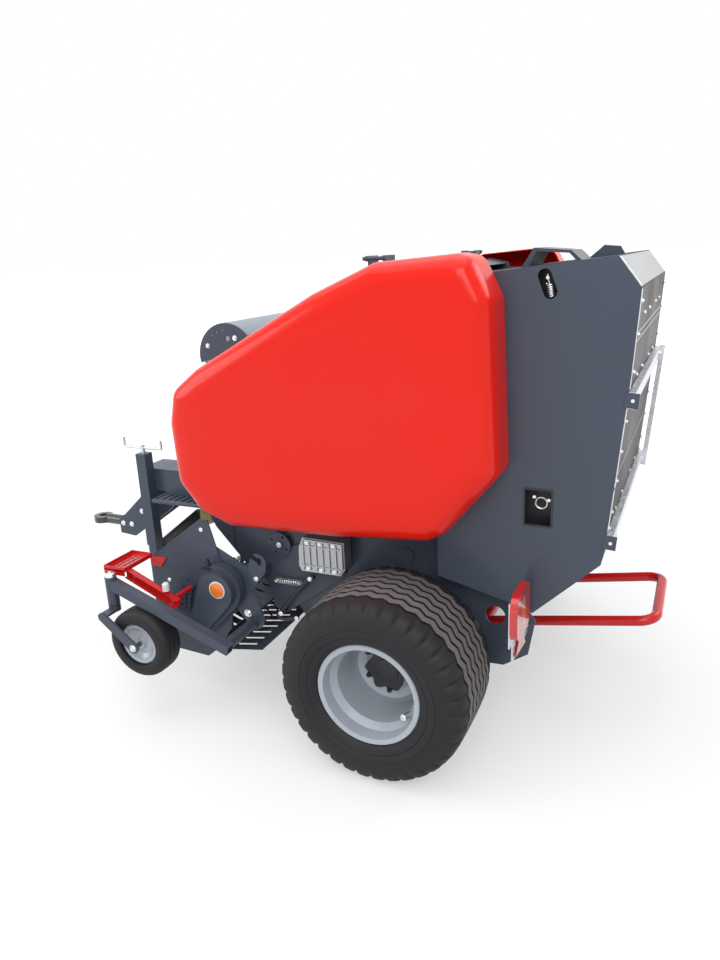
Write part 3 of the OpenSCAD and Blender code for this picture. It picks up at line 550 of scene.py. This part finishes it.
def rod(a, b, r, steps=16, r_end=None):
    """A round bar from a to b; r_end tapers it."""
    return spun(a, b, [(0, r), (1, r if r_end is None else r_end)], steps)


def slab(outline, y0, y1):
    """A flat outline in X and Z, from y0 to y1."""
    return stacked([[Vector((x, y, z)) for x, z in outline] for y in (y0, y1)])


def slab_x(outline, x0, x1):
    """A flat outline in Y and Z, from x0 to x1."""
    return stacked([[Vector((x, y, z)) for y, z in outline] for x in (x0, x1)])


def brick(low, high):
    """A box between two opposite corners."""
    (x0, y0, z0), (x1, y1, z1) = low, high
    return slab([(x0, z0), (x1, z0), (x1, z1), (x0, z1)], y0, y1)


WASHER_THICKNESS = 0.0016
WASHER_SHARE = 1.45


def bolt(place, along, r=0.009, h=0.007, washer=True):
    """A hexagon head on a washer, standing off place."""
    place, along = Vector(place), Vector(along).normalized()
    shapes = [rod(place, place + along * h, r, 6)]
    if washer:
        shapes.append(rod(place, place + along * WASHER_THICKNESS, r * WASHER_SHARE, 20))
    return joined(shapes)


def side_bolts(y, places, h=0.007):
    """Bolts on a face at y that looks to the side, as (x, z, radius)."""
    return [bolt((x, y, z), LEFTWARDS, r, h) for x, z, r in places]


def stub(x, z, y0, y1, r, steps=16, r_end=None):
    """A round bar that runs across the machine."""
    return rod((x, y0, z), (x, y1, z), r, steps, r_end)


def post(x, y, z0, z1, r, steps=16, r_end=None):
    """A round bar that stands upright."""
    return rod((x, y, z0), (x, y, z1), r, steps, r_end)


def swept(points, r, steps=10, closed=False):
    """A round tube through the points."""
    points = [Vector(q) for q in points]
    n = len(points)
    rings = []
    across = None
    for i, q in enumerate(points):
        ahead = points[(i + 1) % n] if closed or i < n - 1 else q
        back = points[i - 1] if closed or i > 0 else q
        along = (ahead - back).normalized()
        # Carried on from the ring before, so that the tube doesn't twist
        across = along.orthogonal() if across is None else across - along * across.dot(along)
        across = across.normalized()
        other = along.cross(across)
        turns = [TAU * k / steps for k in range(steps)]
        rings.append([q + across * r * math.cos(t) + other * r * math.sin(t) for t in turns])
    if closed:
        return [v for ring in rings for v in ring], ring_faces(n, steps)
    return stacked(rings)


def coil(a, b, r, wire, turns, steps=14):
    """A wound spring from a to b."""
    a, b = Vector(a), Vector(b)
    along = (b - a).normalized()
    across = along.orthogonal().normalized()
    other = along.cross(across)
    points = []
    for i in range(turns * steps + 1):
        t = TAU * i / steps
        points.append(a.lerp(b, i / (turns * steps)) + across * r * math.cos(t) + other * r * math.sin(t))
    return swept(points, wire, 8)


def oval(across, z, half_width, half_height, count=36):
    """An outline about (across, z)."""
    turns = [TAU * k / count for k in range(count)]
    return [(across + half_width * math.cos(t), z + half_height * math.sin(t)) for t in turns]


def circle_points(x, z, r, count=40):
    return oval(x, z, r, r, count)


def joined(shapes):
    """Shapes put together as one."""
    verts, faces = [], []
    for more, sides in shapes:
        start = len(verts)
        verts += list(more)
        faces += [tuple(i + start for i in face) for face in sides]
    return verts, faces


def pierced(outline, holes, y0, y1):
    """A flat outline in X and Z with round holes (x, z, radius), from y0 to y1."""
    curve = bpy.data.curves.new("pierced", "CURVE")
    curve.dimensions = "2D"
    curve.fill_mode = "BOTH"
    curve.extrude = abs(y1 - y0) / 2
    for ring in [outline] + [circle_points(x, z, r, 20) for x, z, r in holes]:
        spline = curve.splines.new("POLY")
        spline.points.add(len(ring) - 1)
        for point, (x, z) in zip(spline.points, ring):
            point.co = (x, z, 0, 1)
        spline.use_cyclic_u = True
    holder = bpy.data.objects.new("pierced", curve)
    mesh = bpy.data.meshes.new_from_object(holder)
    verts = [Vector((v.co.x, (y0 + y1) / 2 + v.co.z, v.co.y)) for v in mesh.vertices]
    faces = [tuple(f.vertices) for f in mesh.polygons]
    bpy.data.objects.remove(holder)
    bpy.data.curves.remove(curve)
    bpy.data.meshes.remove(mesh)
    work = bmesh.new()
    made = [work.verts.new(v) for v in verts]
    for face in faces:
        work.faces.new([made[i] for i in face])
    bmesh.ops.remove_doubles(work, verts=work.verts, dist=1e-5)
    work.verts.index_update()
    out = [v.co.copy() for v in work.verts], [tuple(v.index for v in f.verts) for f in work.faces]
    work.free()
    return out


def one(name, shapes, material, body, replaces=(), side=1, smooth_angle=35):
    """Shapes joined into one piece; side -1 mirrors it."""
    verts, faces = joined(shapes)
    mesh = mesh_of(name, [at(v.x, side * v.y, v.z) for v in verts], faces)
    piece(name, mesh, material, body, replaces, smooth_angle)


def pair(name, shapes, material, body, replaces=(), smooth_angle=35):
    """The same shapes on the left and, mirrored, on the right; {side} is filled in."""
    for label, side in SIDES:
        gone = [node.format(side=label) for node in replaces]
        one(name + "_" + label, shapes, material, body.format(side=label), gone, side, smooth_angle)


# Side covers


COVER_OUTLINE = [
    (1.056, 1.517), (1.042, 1.226), (0.925, 1.085), (0.760, 1.026), (0.239, 1.036), (-0.206, 1.068),
    (-0.275, 1.108), (-0.497, 1.372), (-0.468, 2.048), (-0.392, 2.200), (-0.323, 2.216), (0.004, 2.196),
    (0.281, 2.083), (0.884, 1.770), (1.020, 1.672),
]
COVER_INNER_Y = 0.705
COVER_DEPTH = 0.235
COVER_SHEET = 0.005
COVER_CORNER_R = 0.085
CORNER_STEPS = 8
# Past this inset the outline would fold, so it is drawn together towards the middle over COVER_SPAN
INSET_LIMIT = 0.07
COVER_MIDDLE = Vector((0.28, 1.60))
COVER_SPAN = 0.5
# How far the rounded edge has come in at each distance below the outer face
COVER_EDGE = [
    (0.150, 0.0005), (0.110, 0.0015), (0.080, 0.003), (0.062, 0.0075), (0.045, 0.014), (0.032, 0.0225),
    (0.020, 0.035), (0.012, 0.050), (0.006, 0.070), (0.003, 0.090), (0.001, 0.115), (0.0, 0.140),
    (0.0, 0.1415),
]


def inset_outline(points, inset):
    """The clockwise outline with every side moved inwards by inset."""
    out = []
    for i, q in enumerate(points):
        back = (q - points[i - 1]).normalized()
        on = (points[(i + 1) % len(points)] - q).normalized()
        inward = Vector((back.y + on.y, -back.x - on.x))
        out.append(q + inward * (2 * inset / inward.length_squared))
    return out


def rounded_outline(points, radius):
    """The outline with each corner turned into a curve of about that radius."""
    out = []
    for i, q in enumerate(points):
        back = points[i - 1] - q
        on = points[(i + 1) % len(points)] - q
        turn = math.pi - back.angle(on)
        reach = min(radius * math.tan(turn / 2), back.length * 0.48, on.length * 0.48)
        a = q + back.normalized() * reach
        b = q + on.normalized() * reach
        for k in range(CORNER_STEPS + 1):
            t = k / CORNER_STEPS
            out.append(a * (1 - t) ** 2 + q * 2 * t * (1 - t) + b * t ** 2)
    return out


def cover_ring(inset, depth, side):
    """One closed line of the shell; past the limit the line is drawn together towards the middle."""
    corners = [Vector(p) for p in COVER_OUTLINE]
    ring = rounded_outline(inset_outline(corners, min(inset, INSET_LIMIT)), COVER_CORNER_R)
    share = 1 - max(0.0, inset - INSET_LIMIT) / COVER_SPAN
    ring = [COVER_MIDDLE + (p - COVER_MIDDLE) * share for p in ring]
    return [at(p.x, side * (COVER_INNER_Y + depth), p.y) for p in ring]


def cover_mesh(name, side):
    """An open shell: the outer skin, the same skin a sheet's thickness further in, and the rim between."""
    skins = []
    for sheet in (0, COVER_SHEET):
        edge = [(inset + sheet, COVER_DEPTH - below - sheet) for below, inset in COVER_EDGE]
        skins.append([cover_ring(inset, depth, side) for inset, depth in [(sheet, 0)] + edge])
    n = len(skins[0][0])
    verts, faces = joined([stacked(skin) for skin in skins])
    # Each skin is left open at the rim, where the first ring's cap was
    rim = len(skins[0]) * n
    caps = {tuple(range(n)), tuple(range(rim, rim + n))}
    faces = [face for face in faces if face not in caps]
    faces += [(k, (k + 1) % n, rim + (k + 1) % n, rim + k) for k in range(n)]
    return mesh_of(name, verts, faces)


for label, side in SIDES:
    name = "red_cover_" + label
    piece(name, cover_mesh(name, side), COVER_RED, "cover_" + label, replaces=["cover_" + label],
          smooth_angle=60)


# Pick-up


ARM_END = (0.794, 0.455)
# The quadrant's rows of holes, as (radius, first angle, count)
QUADRANT_ROWS = ((0.396, 5.0, 6), (0.426, 6.8, 5))
QUADRANT_PITCH = 3.6


def about_arm(r, degrees):
    """A point at radius r about the gauge arm's end."""
    a = math.radians(degrees)
    return ARM_END[0] + r * math.cos(a), ARM_END[1] + r * math.sin(a)


def quadrant_shapes():
    """The perforated setting plate of the gauge arm, on two spacers."""
    outline = [about_arm(0.450, 2 + 23 * k / 12) for k in range(13)]
    outline += [about_arm(0.372, 26 - 24 * k / 12) for k in range(13)]
    holes = [(*about_arm(r, first + QUADRANT_PITCH * k), 0.0095) for r, first, count in QUADRANT_ROWS
             for k in range(count)]
    return [pierced(outline, holes, 0.764, 0.770)] + [stub(*about_arm(0.44, angle), 0.749, 0.764, 0.010)
                                                      for angle in (23.5, 4)]


def guard_shapes():
    """Raised rims of the wheel guard and the channel that carries it."""
    rims = [brick((1.395, 0.7435, 0.744), (1.399, 0.960, 0.760)),
            brick((1.526, 0.7435, 0.715), (1.530, 0.960, 0.760)),
            brick((1.399, 0.956, 0.715), (1.526, 0.960, 0.760)),
            brick((1.399, 0.7435, 0.744), (1.526, 0.7475, 0.760))]
    top, foot = Vector((1.410, 0.718)), Vector((1.112, 0.592))
    along = (foot - top).normalized()
    across = Vector((-along.y, along.x))

    def flat(high, low):
        ends = ((top, high), (foot, high), (foot, low), (top, low))
        return [tuple(end + across * off) for end, off in ends]

    channel = [slab(flat(0.024, -0.024), 0.905, 0.909), slab(flat(0.024, 0.020), 0.905, 0.940),
               slab(flat(-0.020, -0.024), 0.905, 0.940)]
    return rims + channel + [stub(1.150, 0.606, 0.770, 0.905, 0.013),
                             brick((1.398, 0.905, 0.700), (1.404, 0.940, 0.738))]


pair("quadrant", quadrant_shapes(), SLATE, "pickup")
pair("guard_trim", guard_shapes(), FRAME_RED, "pickup")

KNOB = (1.176, 0.922)
pair("guard_knob", [post(*KNOB, 0.655, 0.690, 0.018, 20), post(*KNOB, 0.690, 0.697, 0.018, 20, 0.012)],
     WHITE_PLASTIC, "pickup")

CASTOR = (1.455, 1.0)
CAP_PROFILE = [(0, 0.027), (0.5, 0.027), (0.8, 0.024), (1, 0.018)]
pair("castor_cap", [spun((*CASTOR, 0.7255), (*CASTOR, 0.744), CAP_PROFILE),
                    post(*CASTOR, 0.743, 0.751, 0.009, 6)],
     BOLT_ZINC, "castor_{side}")


def reflector_disc(y0, y1, profile):
    """A round disc that looks to the side, beside the pick-up."""
    return [spun((0.932, y0, 0.655), (0.932, y1, 0.655), profile, 40)]


pair("reflector_ring", reflector_disc(0.8335, 0.8365, [(0, 0.046), (0.7, 0.046), (1, 0.044)]),
     WHITE_PLASTIC, "pickup")
pair("reflector", reflector_disc(0.8365, 0.8395, [(0, 0.040), (0.6, 0.040), (1, 0.037)]),
     LENS_ORANGE, "pickup")

GLAND = (1.008, 0.785)
pair("gland", [post(*GLAND, 0.738, 0.768, 0.014, 12), post(*GLAND, 0.768, 0.782, 0.010),
               post(*GLAND, 0.782, 0.792, 0.007), brick((0.985, 0.760, 0.742), (1.035, 0.805, 0.746))],
     PLASTIC, "pickup")

pickup_bolts = [bolt((0.827, 0.7375, 0.501), LEFTWARDS, 0.014, 0.011)]
pickup_bolts += side_bolts(0.909, [(1.150, 0.606, 0.010), (1.380, 0.700, 0.008)])
pickup_bolts += side_bolts(0.7375, [(0.76, 0.70, 0.009)])
pickup_bolts += side_bolts(0.7435, [(1.06, 0.93, 0.008), (0.975, 0.60, 0.008), (1.30, 0.62, 0.008),
                                    (1.36, 0.34, 0.008)])
pair("pickup_bolts", pickup_bolts, BOLT_ZINC, "pickup")

# The gauge wheel's dish and tyre, as (radius, y) about its middle
GAUGE_HUB = (1.280, 1.0, 0.402)
GAUGE_RIM = [
    (0.0125, 0.045), (0.028, 0.045), (0.032, 0.031), (0.060, 0.024), (0.080, 0.035), (0.089, 0.051),
    (0.103, 0.053), (0.1105, 0.047), (0.1105, 0.0445), (0.092, 0.0445), (0.0895, 0.030), (0.0895, -0.0445),
    (0.1105, -0.0445), (0.1105, -0.050), (0.084, -0.050), (0.084, 0.022), (0.060, 0.015), (0.032, 0.015),
    (0.0125, 0.015),
]
GAUGE_SIDEWALL = [
    (0.0905, 0.044), (0.1125, 0.0445), (0.1135, 0.066), (0.122, 0.0695), (0.140, 0.0700), (0.158, 0.0665),
    (0.170, 0.058), (0.1770, 0.046),
]


def gauge_tyre_profile():
    """A tyre with three plain grooves."""
    crown = []
    for y in (0.030, 0.0, -0.030):
        top = 0.1795 - abs(y) * 0.03
        crown += [(top, y + 0.004), (0.1735, y + 0.002), (0.1735, y - 0.002), (top, y - 0.004)]
    return GAUGE_SIDEWALL + crown + [(r, -y) for r, y in reversed(GAUGE_SIDEWALL)]


for label, side in SIDES:
    centre = at(GAUGE_HUB[0], side * GAUGE_HUB[1], GAUGE_HUB[2])
    dish, tyre, body = "gauge_dish_" + label, "gauge_tyre_" + label, "gauge_wheel_" + label
    piece(dish, turned_rows(dish, [GAUGE_RIM] * 64, centre, side), RIM_SILVER, body,
          replaces=["gauge_rim_" + label])
    piece(tyre, turned_rows(tyre, [gauge_tyre_profile()] * 72, centre, side), RUBBER, body,
          replaces=["gauge_wheel_" + label])
pair("gauge_hub_bolt", [bolt((GAUGE_HUB[0], 1.0975, GAUGE_HUB[2]), LEFTWARDS, 0.013, 0.010)],
     BOLT_ZINC, "castor_{side}")

# The lift spring and the black lever beside it
SPRING_Y, SPRING_Z = 0.643, 0.665
LEVER_Y = 0.664
LEVER_R = 0.011
LEVER_LINE = [(0.47, 0.722), (0.50, 0.708), (0.59, 0.606), (0.675, 0.502), (0.692, 0.477), (0.682, 0.462),
              (0.655, 0.462), (0.575, 0.484)]


def along_spring(x0, x1):
    return (x0, SPRING_Y, SPRING_Z), (x1, SPRING_Y, SPRING_Z)


one("lift_coil", [coil(*along_spring(0.552, 0.688), 0.0145, 0.0026, 13),
                  rod(*along_spring(0.536, 0.552), 0.009), rod(*along_spring(0.688, 0.702), 0.009),
                  stub(0.545, SPRING_Z, 0.6215, 0.660, 0.008), stub(0.694, SPRING_Z, 0.6215, 0.660, 0.008)],
    BOLT_ZINC, "pickup", replaces=["lift_spring"])
pair("lift_lever", [swept([(x, LEVER_Y, z) for x, z in LEVER_LINE], LEVER_R, 12),
                    stub(0.672, 0.495, 0.6215, LEVER_Y, 0.010)],
     PLASTIC, "pickup")
LEVER_BOLTS = [(0.672, 0.495, 0.009), (0.58, 0.484, 0.008), (0.49, 0.712, 0.008)]
pair("lever_bolts", side_bolts(LEVER_Y + LEVER_R, LEVER_BOLTS), BOLT_ZINC, "pickup")


# Drive side and throat


THROAT = [(0.955, 1.040), (1.105, 0.985), (1.060, 0.900), (0.905, 0.728), (0.862, 0.716), (0.955, 0.800)]
pair("throat_plate", [slab(THROAT, 0.6085, 0.6125)], SLATE, "chassis")

FLANGE = (0.674, 0.855)
flange_holes = [(FLANGE[0] + 0.046 * math.cos(a), FLANGE[1] + 0.046 * math.sin(a), 0.0065)
                for a in (0.5, 2.07, 3.64, 5.21)]
one("rotor_flange", [pierced(circle_points(*FLANGE, 0.062), flange_holes, 0.6225, 0.6325),
                     stub(*FLANGE, 0.6083, 0.6225, 0.029, 32),
                     stub(*FLANGE, 0.6325, 0.637, 0.024, 32, 0.021)],
    SLATE, "chassis")

HOUSING = [(0.528, 0.790), (0.515, 0.765), (0.305, 0.765), (0.280, 0.800), (0.280, 0.935), (0.500, 0.940),
           (0.524, 0.885)]
lid = [(x * 0.94 + 0.024, z * 0.94 + 0.051) for x, z in HOUSING]
housing = [slab(HOUSING, 0.6263, 0.700), slab(lid, 0.700, 0.711)]
housing += [brick((0.315 + 0.035 * k, 0.705, 0.780), (0.321 + 0.035 * k, 0.7175, 0.925)) for k in range(6)]
housing += [brick((0.300, 0.708, z), (0.505, 0.7160, z + 0.006)) for z in (0.800, 0.900)]
one("gear_housing", housing, ALUMINIUM, "chassis", replaces=["rotor_housing"])
one("drive_bolts", side_bolts(0.637, [(*FLANGE, 0.010)]) +
    side_bolts(0.711, [(x, z, 0.007) for x in (0.333, 0.403, 0.473) for z in (0.785, 0.918)], 0.006),
    BOLT_ZINC, "chassis")


# Road wheel hubs


def flower(x, z, r, lobe_r, lobes, steps=10):
    """A disc's outline with round lobes, which lie between the wheel bolts."""
    points = []
    for k in range(lobes):
        for i in range(-steps, steps + 1):
            t = TAU * k / lobes + i / steps * math.pi / lobes
            reach = r + lobe_r * max(0.0, math.cos(i / steps * math.pi / 2)) ** 3
            points.append((x + reach * math.cos(t), z + reach * math.sin(t)))
    return points


DISC_Y = TRACK_HALF - 0.045 + 0.0085
WHEEL_BOLTS = 6
BOLT_CIRCLE = 0.116
CENTRE_CAP = [(0, 0.060), (0.97, 0.056), (1, 0.050)]
hub_cover = [slab(flower(0, WHEEL_Z, 0.084, 0.022, WHEEL_BOLTS), DISC_Y, DISC_Y + 0.034),
             spun((0, DISC_Y, WHEEL_Z), (0, DISC_Y + 0.0395, WHEEL_Z), CENTRE_CAP, 40)]
for k in range(WHEEL_BOLTS):
    a = TAU * (k + 0.5) / WHEEL_BOLTS
    place = (BOLT_CIRCLE * math.cos(a), DISC_Y, WHEEL_Z + BOLT_CIRCLE * math.sin(a))
    hub_cover.append(bolt(place, LEFTWARDS, 0.0115, 0.014))
pair("hub_cover", hub_cover, PLASTIC, "wheel_{side}")

VALVE = [(-0.162, TRACK_HALF + 0.135, WHEEL_Z - 0.098), (-0.150, TRACK_HALF + 0.182, WHEEL_Z - 0.090),
         (-0.148, TRACK_HALF + 0.196, WHEEL_Z - 0.089)]
pair("valve", [rod(VALVE[0], VALVE[1], 0.014), rod(VALVE[1], VALVE[2], 0.005, 12)],
     BOLT_ZINC, "wheel_{side}")


# Tailgate


REAR_EDGE = [(-0.877, 2.183), (-0.963, 2.069), (-0.945, 1.755), (-0.906, 1.305), (-0.880, 1.020),
             (-0.872, 0.982), (-0.602, 0.722)]
BAR_HEIGHTS = (1.085, 1.660)
STRIP_THICKNESS = 0.0025
# Square to the rear sheet, which leans a little
REARWARDS = (-1, 0, -0.09)


def edge_x(z):
    """The rear edge's place at height z."""
    for (x0, z0), (x1, z1) in zip(REAR_EDGE, REAR_EDGE[1:]):
        if z1 <= z <= z0:
            return x0 + (z - z0) * (x1 - x0) / (z1 - z0)
    return REAR_EDGE[0][0]


def band(a, b, out, y0, y1):
    """A flat strip on the line from a to b in X and Z, standing off it by out."""
    return slab([tuple(a), tuple(b), tuple(b + out), tuple(a + out)], y0, y1)


def edge_strip(low, high, y0, y1, thick=STRIP_THICKNESS, away=0.0):
    """A flat strip on the rear sheet between two heights, away from it by a distance."""
    a = Vector((edge_x(high) - away, high))
    b = Vector((edge_x(low) - away, low))
    along = (b - a).normalized()
    return band(a, b, Vector((along.y, -along.x)) * thick, y0, y1)


CHAMFER = (Vector((-0.880, 2.179)), Vector((-0.960, 2.073)))
CHAMFER_OUT = Vector((-0.798, 0.602)) * STRIP_THICKNESS
STRIP_HEIGHTS = ((1.700, 2.064), (1.310, 1.624), (1.125, 1.300))
strips = [edge_strip(low, high, 0.664, 0.6905) for low, high in STRIP_HEIGHTS]
strips.append(band(*CHAMFER, CHAMFER_OUT, 0.655, 0.6905))
pair("edge_strips", strips, ZINC, "tailgate")
one("chamfer_sheet", [band(*CHAMFER, CHAMFER_OUT * 0.6, -0.655, 0.655)], ROLLER, "tailgate")


def rear_bolt(y, z, away, r=0.007, h=0.007):
    """A bolt at height z whose foot stands behind the rear edge by away."""
    return bolt((edge_x(z) - away, y, z), REARWARDS, r, h)


sheet_bolts = [rear_bolt(0.652, z, STRIP_THICKNESS) for z in (1.13, 1.20, 1.33, 1.45, 1.57, 1.76, 1.90, 2.02)]
sheet_bolts += [rear_bolt(y, z, -0.001) for z in (1.030, 1.140, 1.605, 1.715, 1.96) for y in (0.18, 0.42)]
for z in BAR_HEIGHTS:
    sheet_bolts.append(rear_bolt(0.630, z, 0.0265, 0.009, 0.008))
    sheet_bolts.append(bolt((edge_x(z) - 0.020, 0.7013, z), LEFTWARDS, 0.0075, 0.008, False))
pair("sheet_bolts", sheet_bolts, BOLT_ZINC, "tailgate")
one("upright_bar", [edge_strip(1.045, 1.700, -0.645, -0.639, 0.024, 0.0268)], ZINC, "tailgate")
one("sheet_seams", [edge_strip(z, z + 0.004, -0.655, 0.655, 0.0012, -0.0008) for z in (1.345, 1.870, 1.900)],
    ZINC, "tailgate")

pair("slot_spring", [coil((-0.642, 0.672, 2.042), (-0.632, 0.672, 2.092), 0.0125, 0.0028, 6),
                     bolt((-0.627, 0.676, 2.112), LEFTWARDS, 0.007, 0.010, False),
                     rod((-0.632, 0.672, 2.088), (-0.624, 0.672, 2.125), 0.004, 10)],
     BOLT_ZINC, "tailgate")


def window_bar(x0, x1, z0, z1):
    """One side of the window's thin frame."""
    return brick((x0, 0.6953, z0), (x1, 0.6975, z1))


# The black plates set deep inside, behind the window and behind the slot's spring, are painted shade for the
# dark inside of the tailgate; the thin black bars are the window's frame.
pair("window_frame_and_painted_shade", [brick((-0.690, 0.6065, 1.100), (-0.540, 0.6095, 1.300)),
                     window_bar(-0.676, -0.668, 1.118, 1.285), window_bar(-0.562, -0.554, 1.118, 1.285),
                     window_bar(-0.668, -0.562, 1.277, 1.285), window_bar(-0.668, -0.562, 1.118, 1.126),
                     brick((-0.692, 0.6095, 2.000), (-0.570, 0.6115, 2.145))],
     PLASTIC, "tailgate")
bearing_ring = [(x, 0.640, z) for x, z in circle_points(-0.618, 1.205, 0.024, 24)]
pair("window_bearing", [swept(bearing_ring, 0.004, 8, True), stub(-0.590, 1.232, 0.610, 0.650, 0.007),
                        stub(-0.650, 1.222, 0.610, 0.650, 0.007)],
     BOLT_ZINC, "tailgate")


# Lamps


LAMP = (0.845, 0.805)
LAMP_BACK = -0.5685
TRIANGLE = [(0.790, 0.700), (0.880, 0.607), (0.700, 0.585)]
SIDE_LIGHT = [(0.935, 0.775), (0.9575, 0.79), (0.9575, 0.83), (0.935, 0.835)]
pair("lamp_lens", [slab_x(oval(*LAMP, 0.112, 0.092), -0.592, -0.5765),
                   slab_x(oval(*LAMP, 0.100, 0.080), -0.598, -0.592), slab_x(TRIANGLE, -0.577, LAMP_BACK)],
     LENS_RED, "chassis")
pair("lamp_rim", [slab_x(oval(*LAMP, 0.118, 0.098), -0.5765, LAMP_BACK)], PLASTIC, "chassis")
pair("lamp_stripe", [slab_x(oval(*LAMP, 0.030, 0.070), -0.6005, -0.598),
                     slab_x(SIDE_LIGHT, -0.5945, -0.5785)],
     LENS_ORANGE, "chassis")
pair("lamp_bolts", [bolt((LAMP_BACK, y, z), (-1, 0, 0), 0.007) for y, z in ((0.72, 0.66), (0.64, 0.63))],
     BOLT_ZINC, "chassis")


# Net unit, drawbar and drive shaft


def lid_line(x):
    """The height of the net lid's lower edge."""
    return 1.825 - (x - 0.682) * 0.185


cheek = [(x, max(z, lid_line(x))) for x, z in circle_points(0.895, 1.785, 0.157, 64)]
CHEEK_HOLES = [(0.975, 1.885, 0.006), (0.945, 1.900, 0.006), (0.912, 1.908, 0.006), (0.885, 1.870, 0.014)]
pair("net_cheek", [pierced(cheek, CHEEK_HOLES, 0.6065, 0.6105)], SLATE, "net_lid")
pair("net_bolts", side_bolts(0.6105, [(0.842, 1.872, 0.009), (1.000, 1.835, 0.008), (0.742, 1.852, 0.010)]),
     BOLT_ZINC, "net_lid")

SHAFT_A = Vector((1.560, 0, 0.735))
SHAFT_B = Vector((2.030, 0, 0.375))
FOLDS = 22
folds = []
for k in range(FOLDS):
    folds += [(k / FOLDS, 0.043), ((k + 0.5) / FOLDS, 0.055)]
folds.append((1, 0.043))
one("shaft_bellows", [spun(SHAFT_A.lerp(SHAFT_B, 0.12), SHAFT_A.lerp(SHAFT_B, 0.86), folds, 32)],
    PLASTIC, "pto_shaft")

RIB_STARTS = [1.360 + 0.045 * k for k in range(8)]
one("step_ribs", [brick((x, 0.1065, 0.902), (x + 0.012, 0.345, 0.908)) for x in RIB_STARTS],
    SLATE, "chassis")

drawbar_bolts = [bolt((x, 0.1053, 0.98), LEFTWARDS, 0.012, 0.010) for x in (1.30, 1.60)]
drawbar_bolts += [bolt((x, 0.0663, z), LEFTWARDS, 0.012, 0.010)
                  for x, z in ((2.14, 0.60), (2.21, 0.60), (1.90, 0.78), (2.04, 0.70))]
pair("drawbar_bolts", drawbar_bolts, BOLT_ZINC, "chassis")


# Floor and light


FLOOR_HALF = 400
FLOOR_COLOR = (0.52, 0.52, 0.51, 1)
# The glow's strength near the machine and far away, and the distances between which it grows
FLOOR_GLOW = (0.42, 0.9)
GLOW_REACH = (2.5, 9.0)


def background_rays(nodes, link):
    """1 for rays that show the background: from the camera, off a gloss or through glass."""
    path = nodes.new("ShaderNodeLightPath")
    seen = add_math(nodes, link, "MAXIMUM", path.outputs["Is Camera Ray"], path.outputs["Is Glossy Ray"])
    return add_math(nodes, link, "MAXIMUM", seen, path.outputs["Is Transmission Ray"])


def add_floor():
    """A grey floor that takes the machine's shadow; rays that show the background see it glow."""
    corners = [(x * FLOOR_HALF, y * FLOOR_HALF, 0) for x, y in ((-1, -1), (1, -1), (1, 1), (-1, 1))]
    mesh = mesh_of("floor", corners, [(0, 1, 2, 3)])
    floor = bpy.data.objects.new("floor", mesh)
    bpy.context.collection.objects.link(floor)
    material = bpy.data.materials.new("floor_grey")
    material.use_nodes = True
    nodes = material.node_tree.nodes
    link = material.node_tree.links.new
    shader = nodes["Principled BSDF"]
    shader.inputs["Base Color"].default_value = FLOOR_COLOR
    shader.inputs["Roughness"].default_value = 0.8
    glow = nodes.new("ShaderNodeEmission")
    glow.inputs["Color"].default_value = (1, 1, 1, 1)
    geometry = nodes.new("ShaderNodeNewGeometry")
    reach = nodes.new("ShaderNodeVectorMath")
    reach.operation = "LENGTH"
    link(geometry.outputs["Position"], reach.inputs[0])
    strength = add_range(nodes, link, reach.outputs["Value"], *GLOW_REACH, *FLOOR_GLOW)
    both = nodes.new("ShaderNodeAddShader")
    link(add_math(nodes, link, "MULTIPLY", background_rays(nodes, link), strength), glow.inputs["Strength"])
    link(shader.outputs[0], both.inputs[0])
    link(glow.outputs[0], both.inputs[1])
    link(both.outputs[0], nodes["Material Output"].inputs["Surface"])
    mesh.materials.append(material)


def add_area_light(name, place, target, size, power):
    """A rectangular light, (width, height) large, that faces target."""
    data = bpy.data.lights.new(name, "AREA")
    data.shape = "RECTANGLE"
    data.size = size[0]
    data.size_y = size[1]
    data.energy = power
    light = bpy.data.objects.new(name, data)
    light.location = place
    light.rotation_euler = (Vector(target) - Vector(place)).to_track_quat("-Z", "Y").to_euler()
    bpy.context.collection.objects.link(light)


def add_world():
    """A pale sky that lights the machine; rays that show the background see it white."""
    world = bpy.data.worlds.new("studio")
    bpy.context.scene.world = world
    world.use_nodes = True
    nodes = world.node_tree.nodes
    link = world.node_tree.links.new
    sky = nodes["Background"]
    sky.inputs["Color"].default_value = (0.82, 0.85, 0.90, 1)
    sky.inputs["Strength"].default_value = 0.75
    white = nodes.new("ShaderNodeBackground")
    white.inputs["Color"].default_value = (1, 1, 1, 1)
    white.inputs["Strength"].default_value = 1.0
    mix = nodes.new("ShaderNodeMixShader")
    link(background_rays(nodes, link), mix.inputs[0])
    link(sky.outputs[0], mix.inputs[1])
    link(white.outputs[0], mix.inputs[2])
    link(mix.outputs[0], nodes["World Output"].inputs["Surface"])


add_floor()
add_area_light("sky_light", (0.5, 0.5, 8.0), (0, 0, 1.0), (9, 9), 330)
add_area_light("key_light", (-3.5, 6.5, 6.0), (0, 0, 1.0), (5, 4), 270)
add_area_light("fill_light", (6.0, 4.0, 3.5), (0, 0, 1.0), (4, 3), 120)
add_area_light("rim_light", (-5.0, -4.0, 5.0), (0, 0, 1.2), (4, 3), 110)
add_world()
bpy.context.scene.view_settings.view_transform = "Standard"
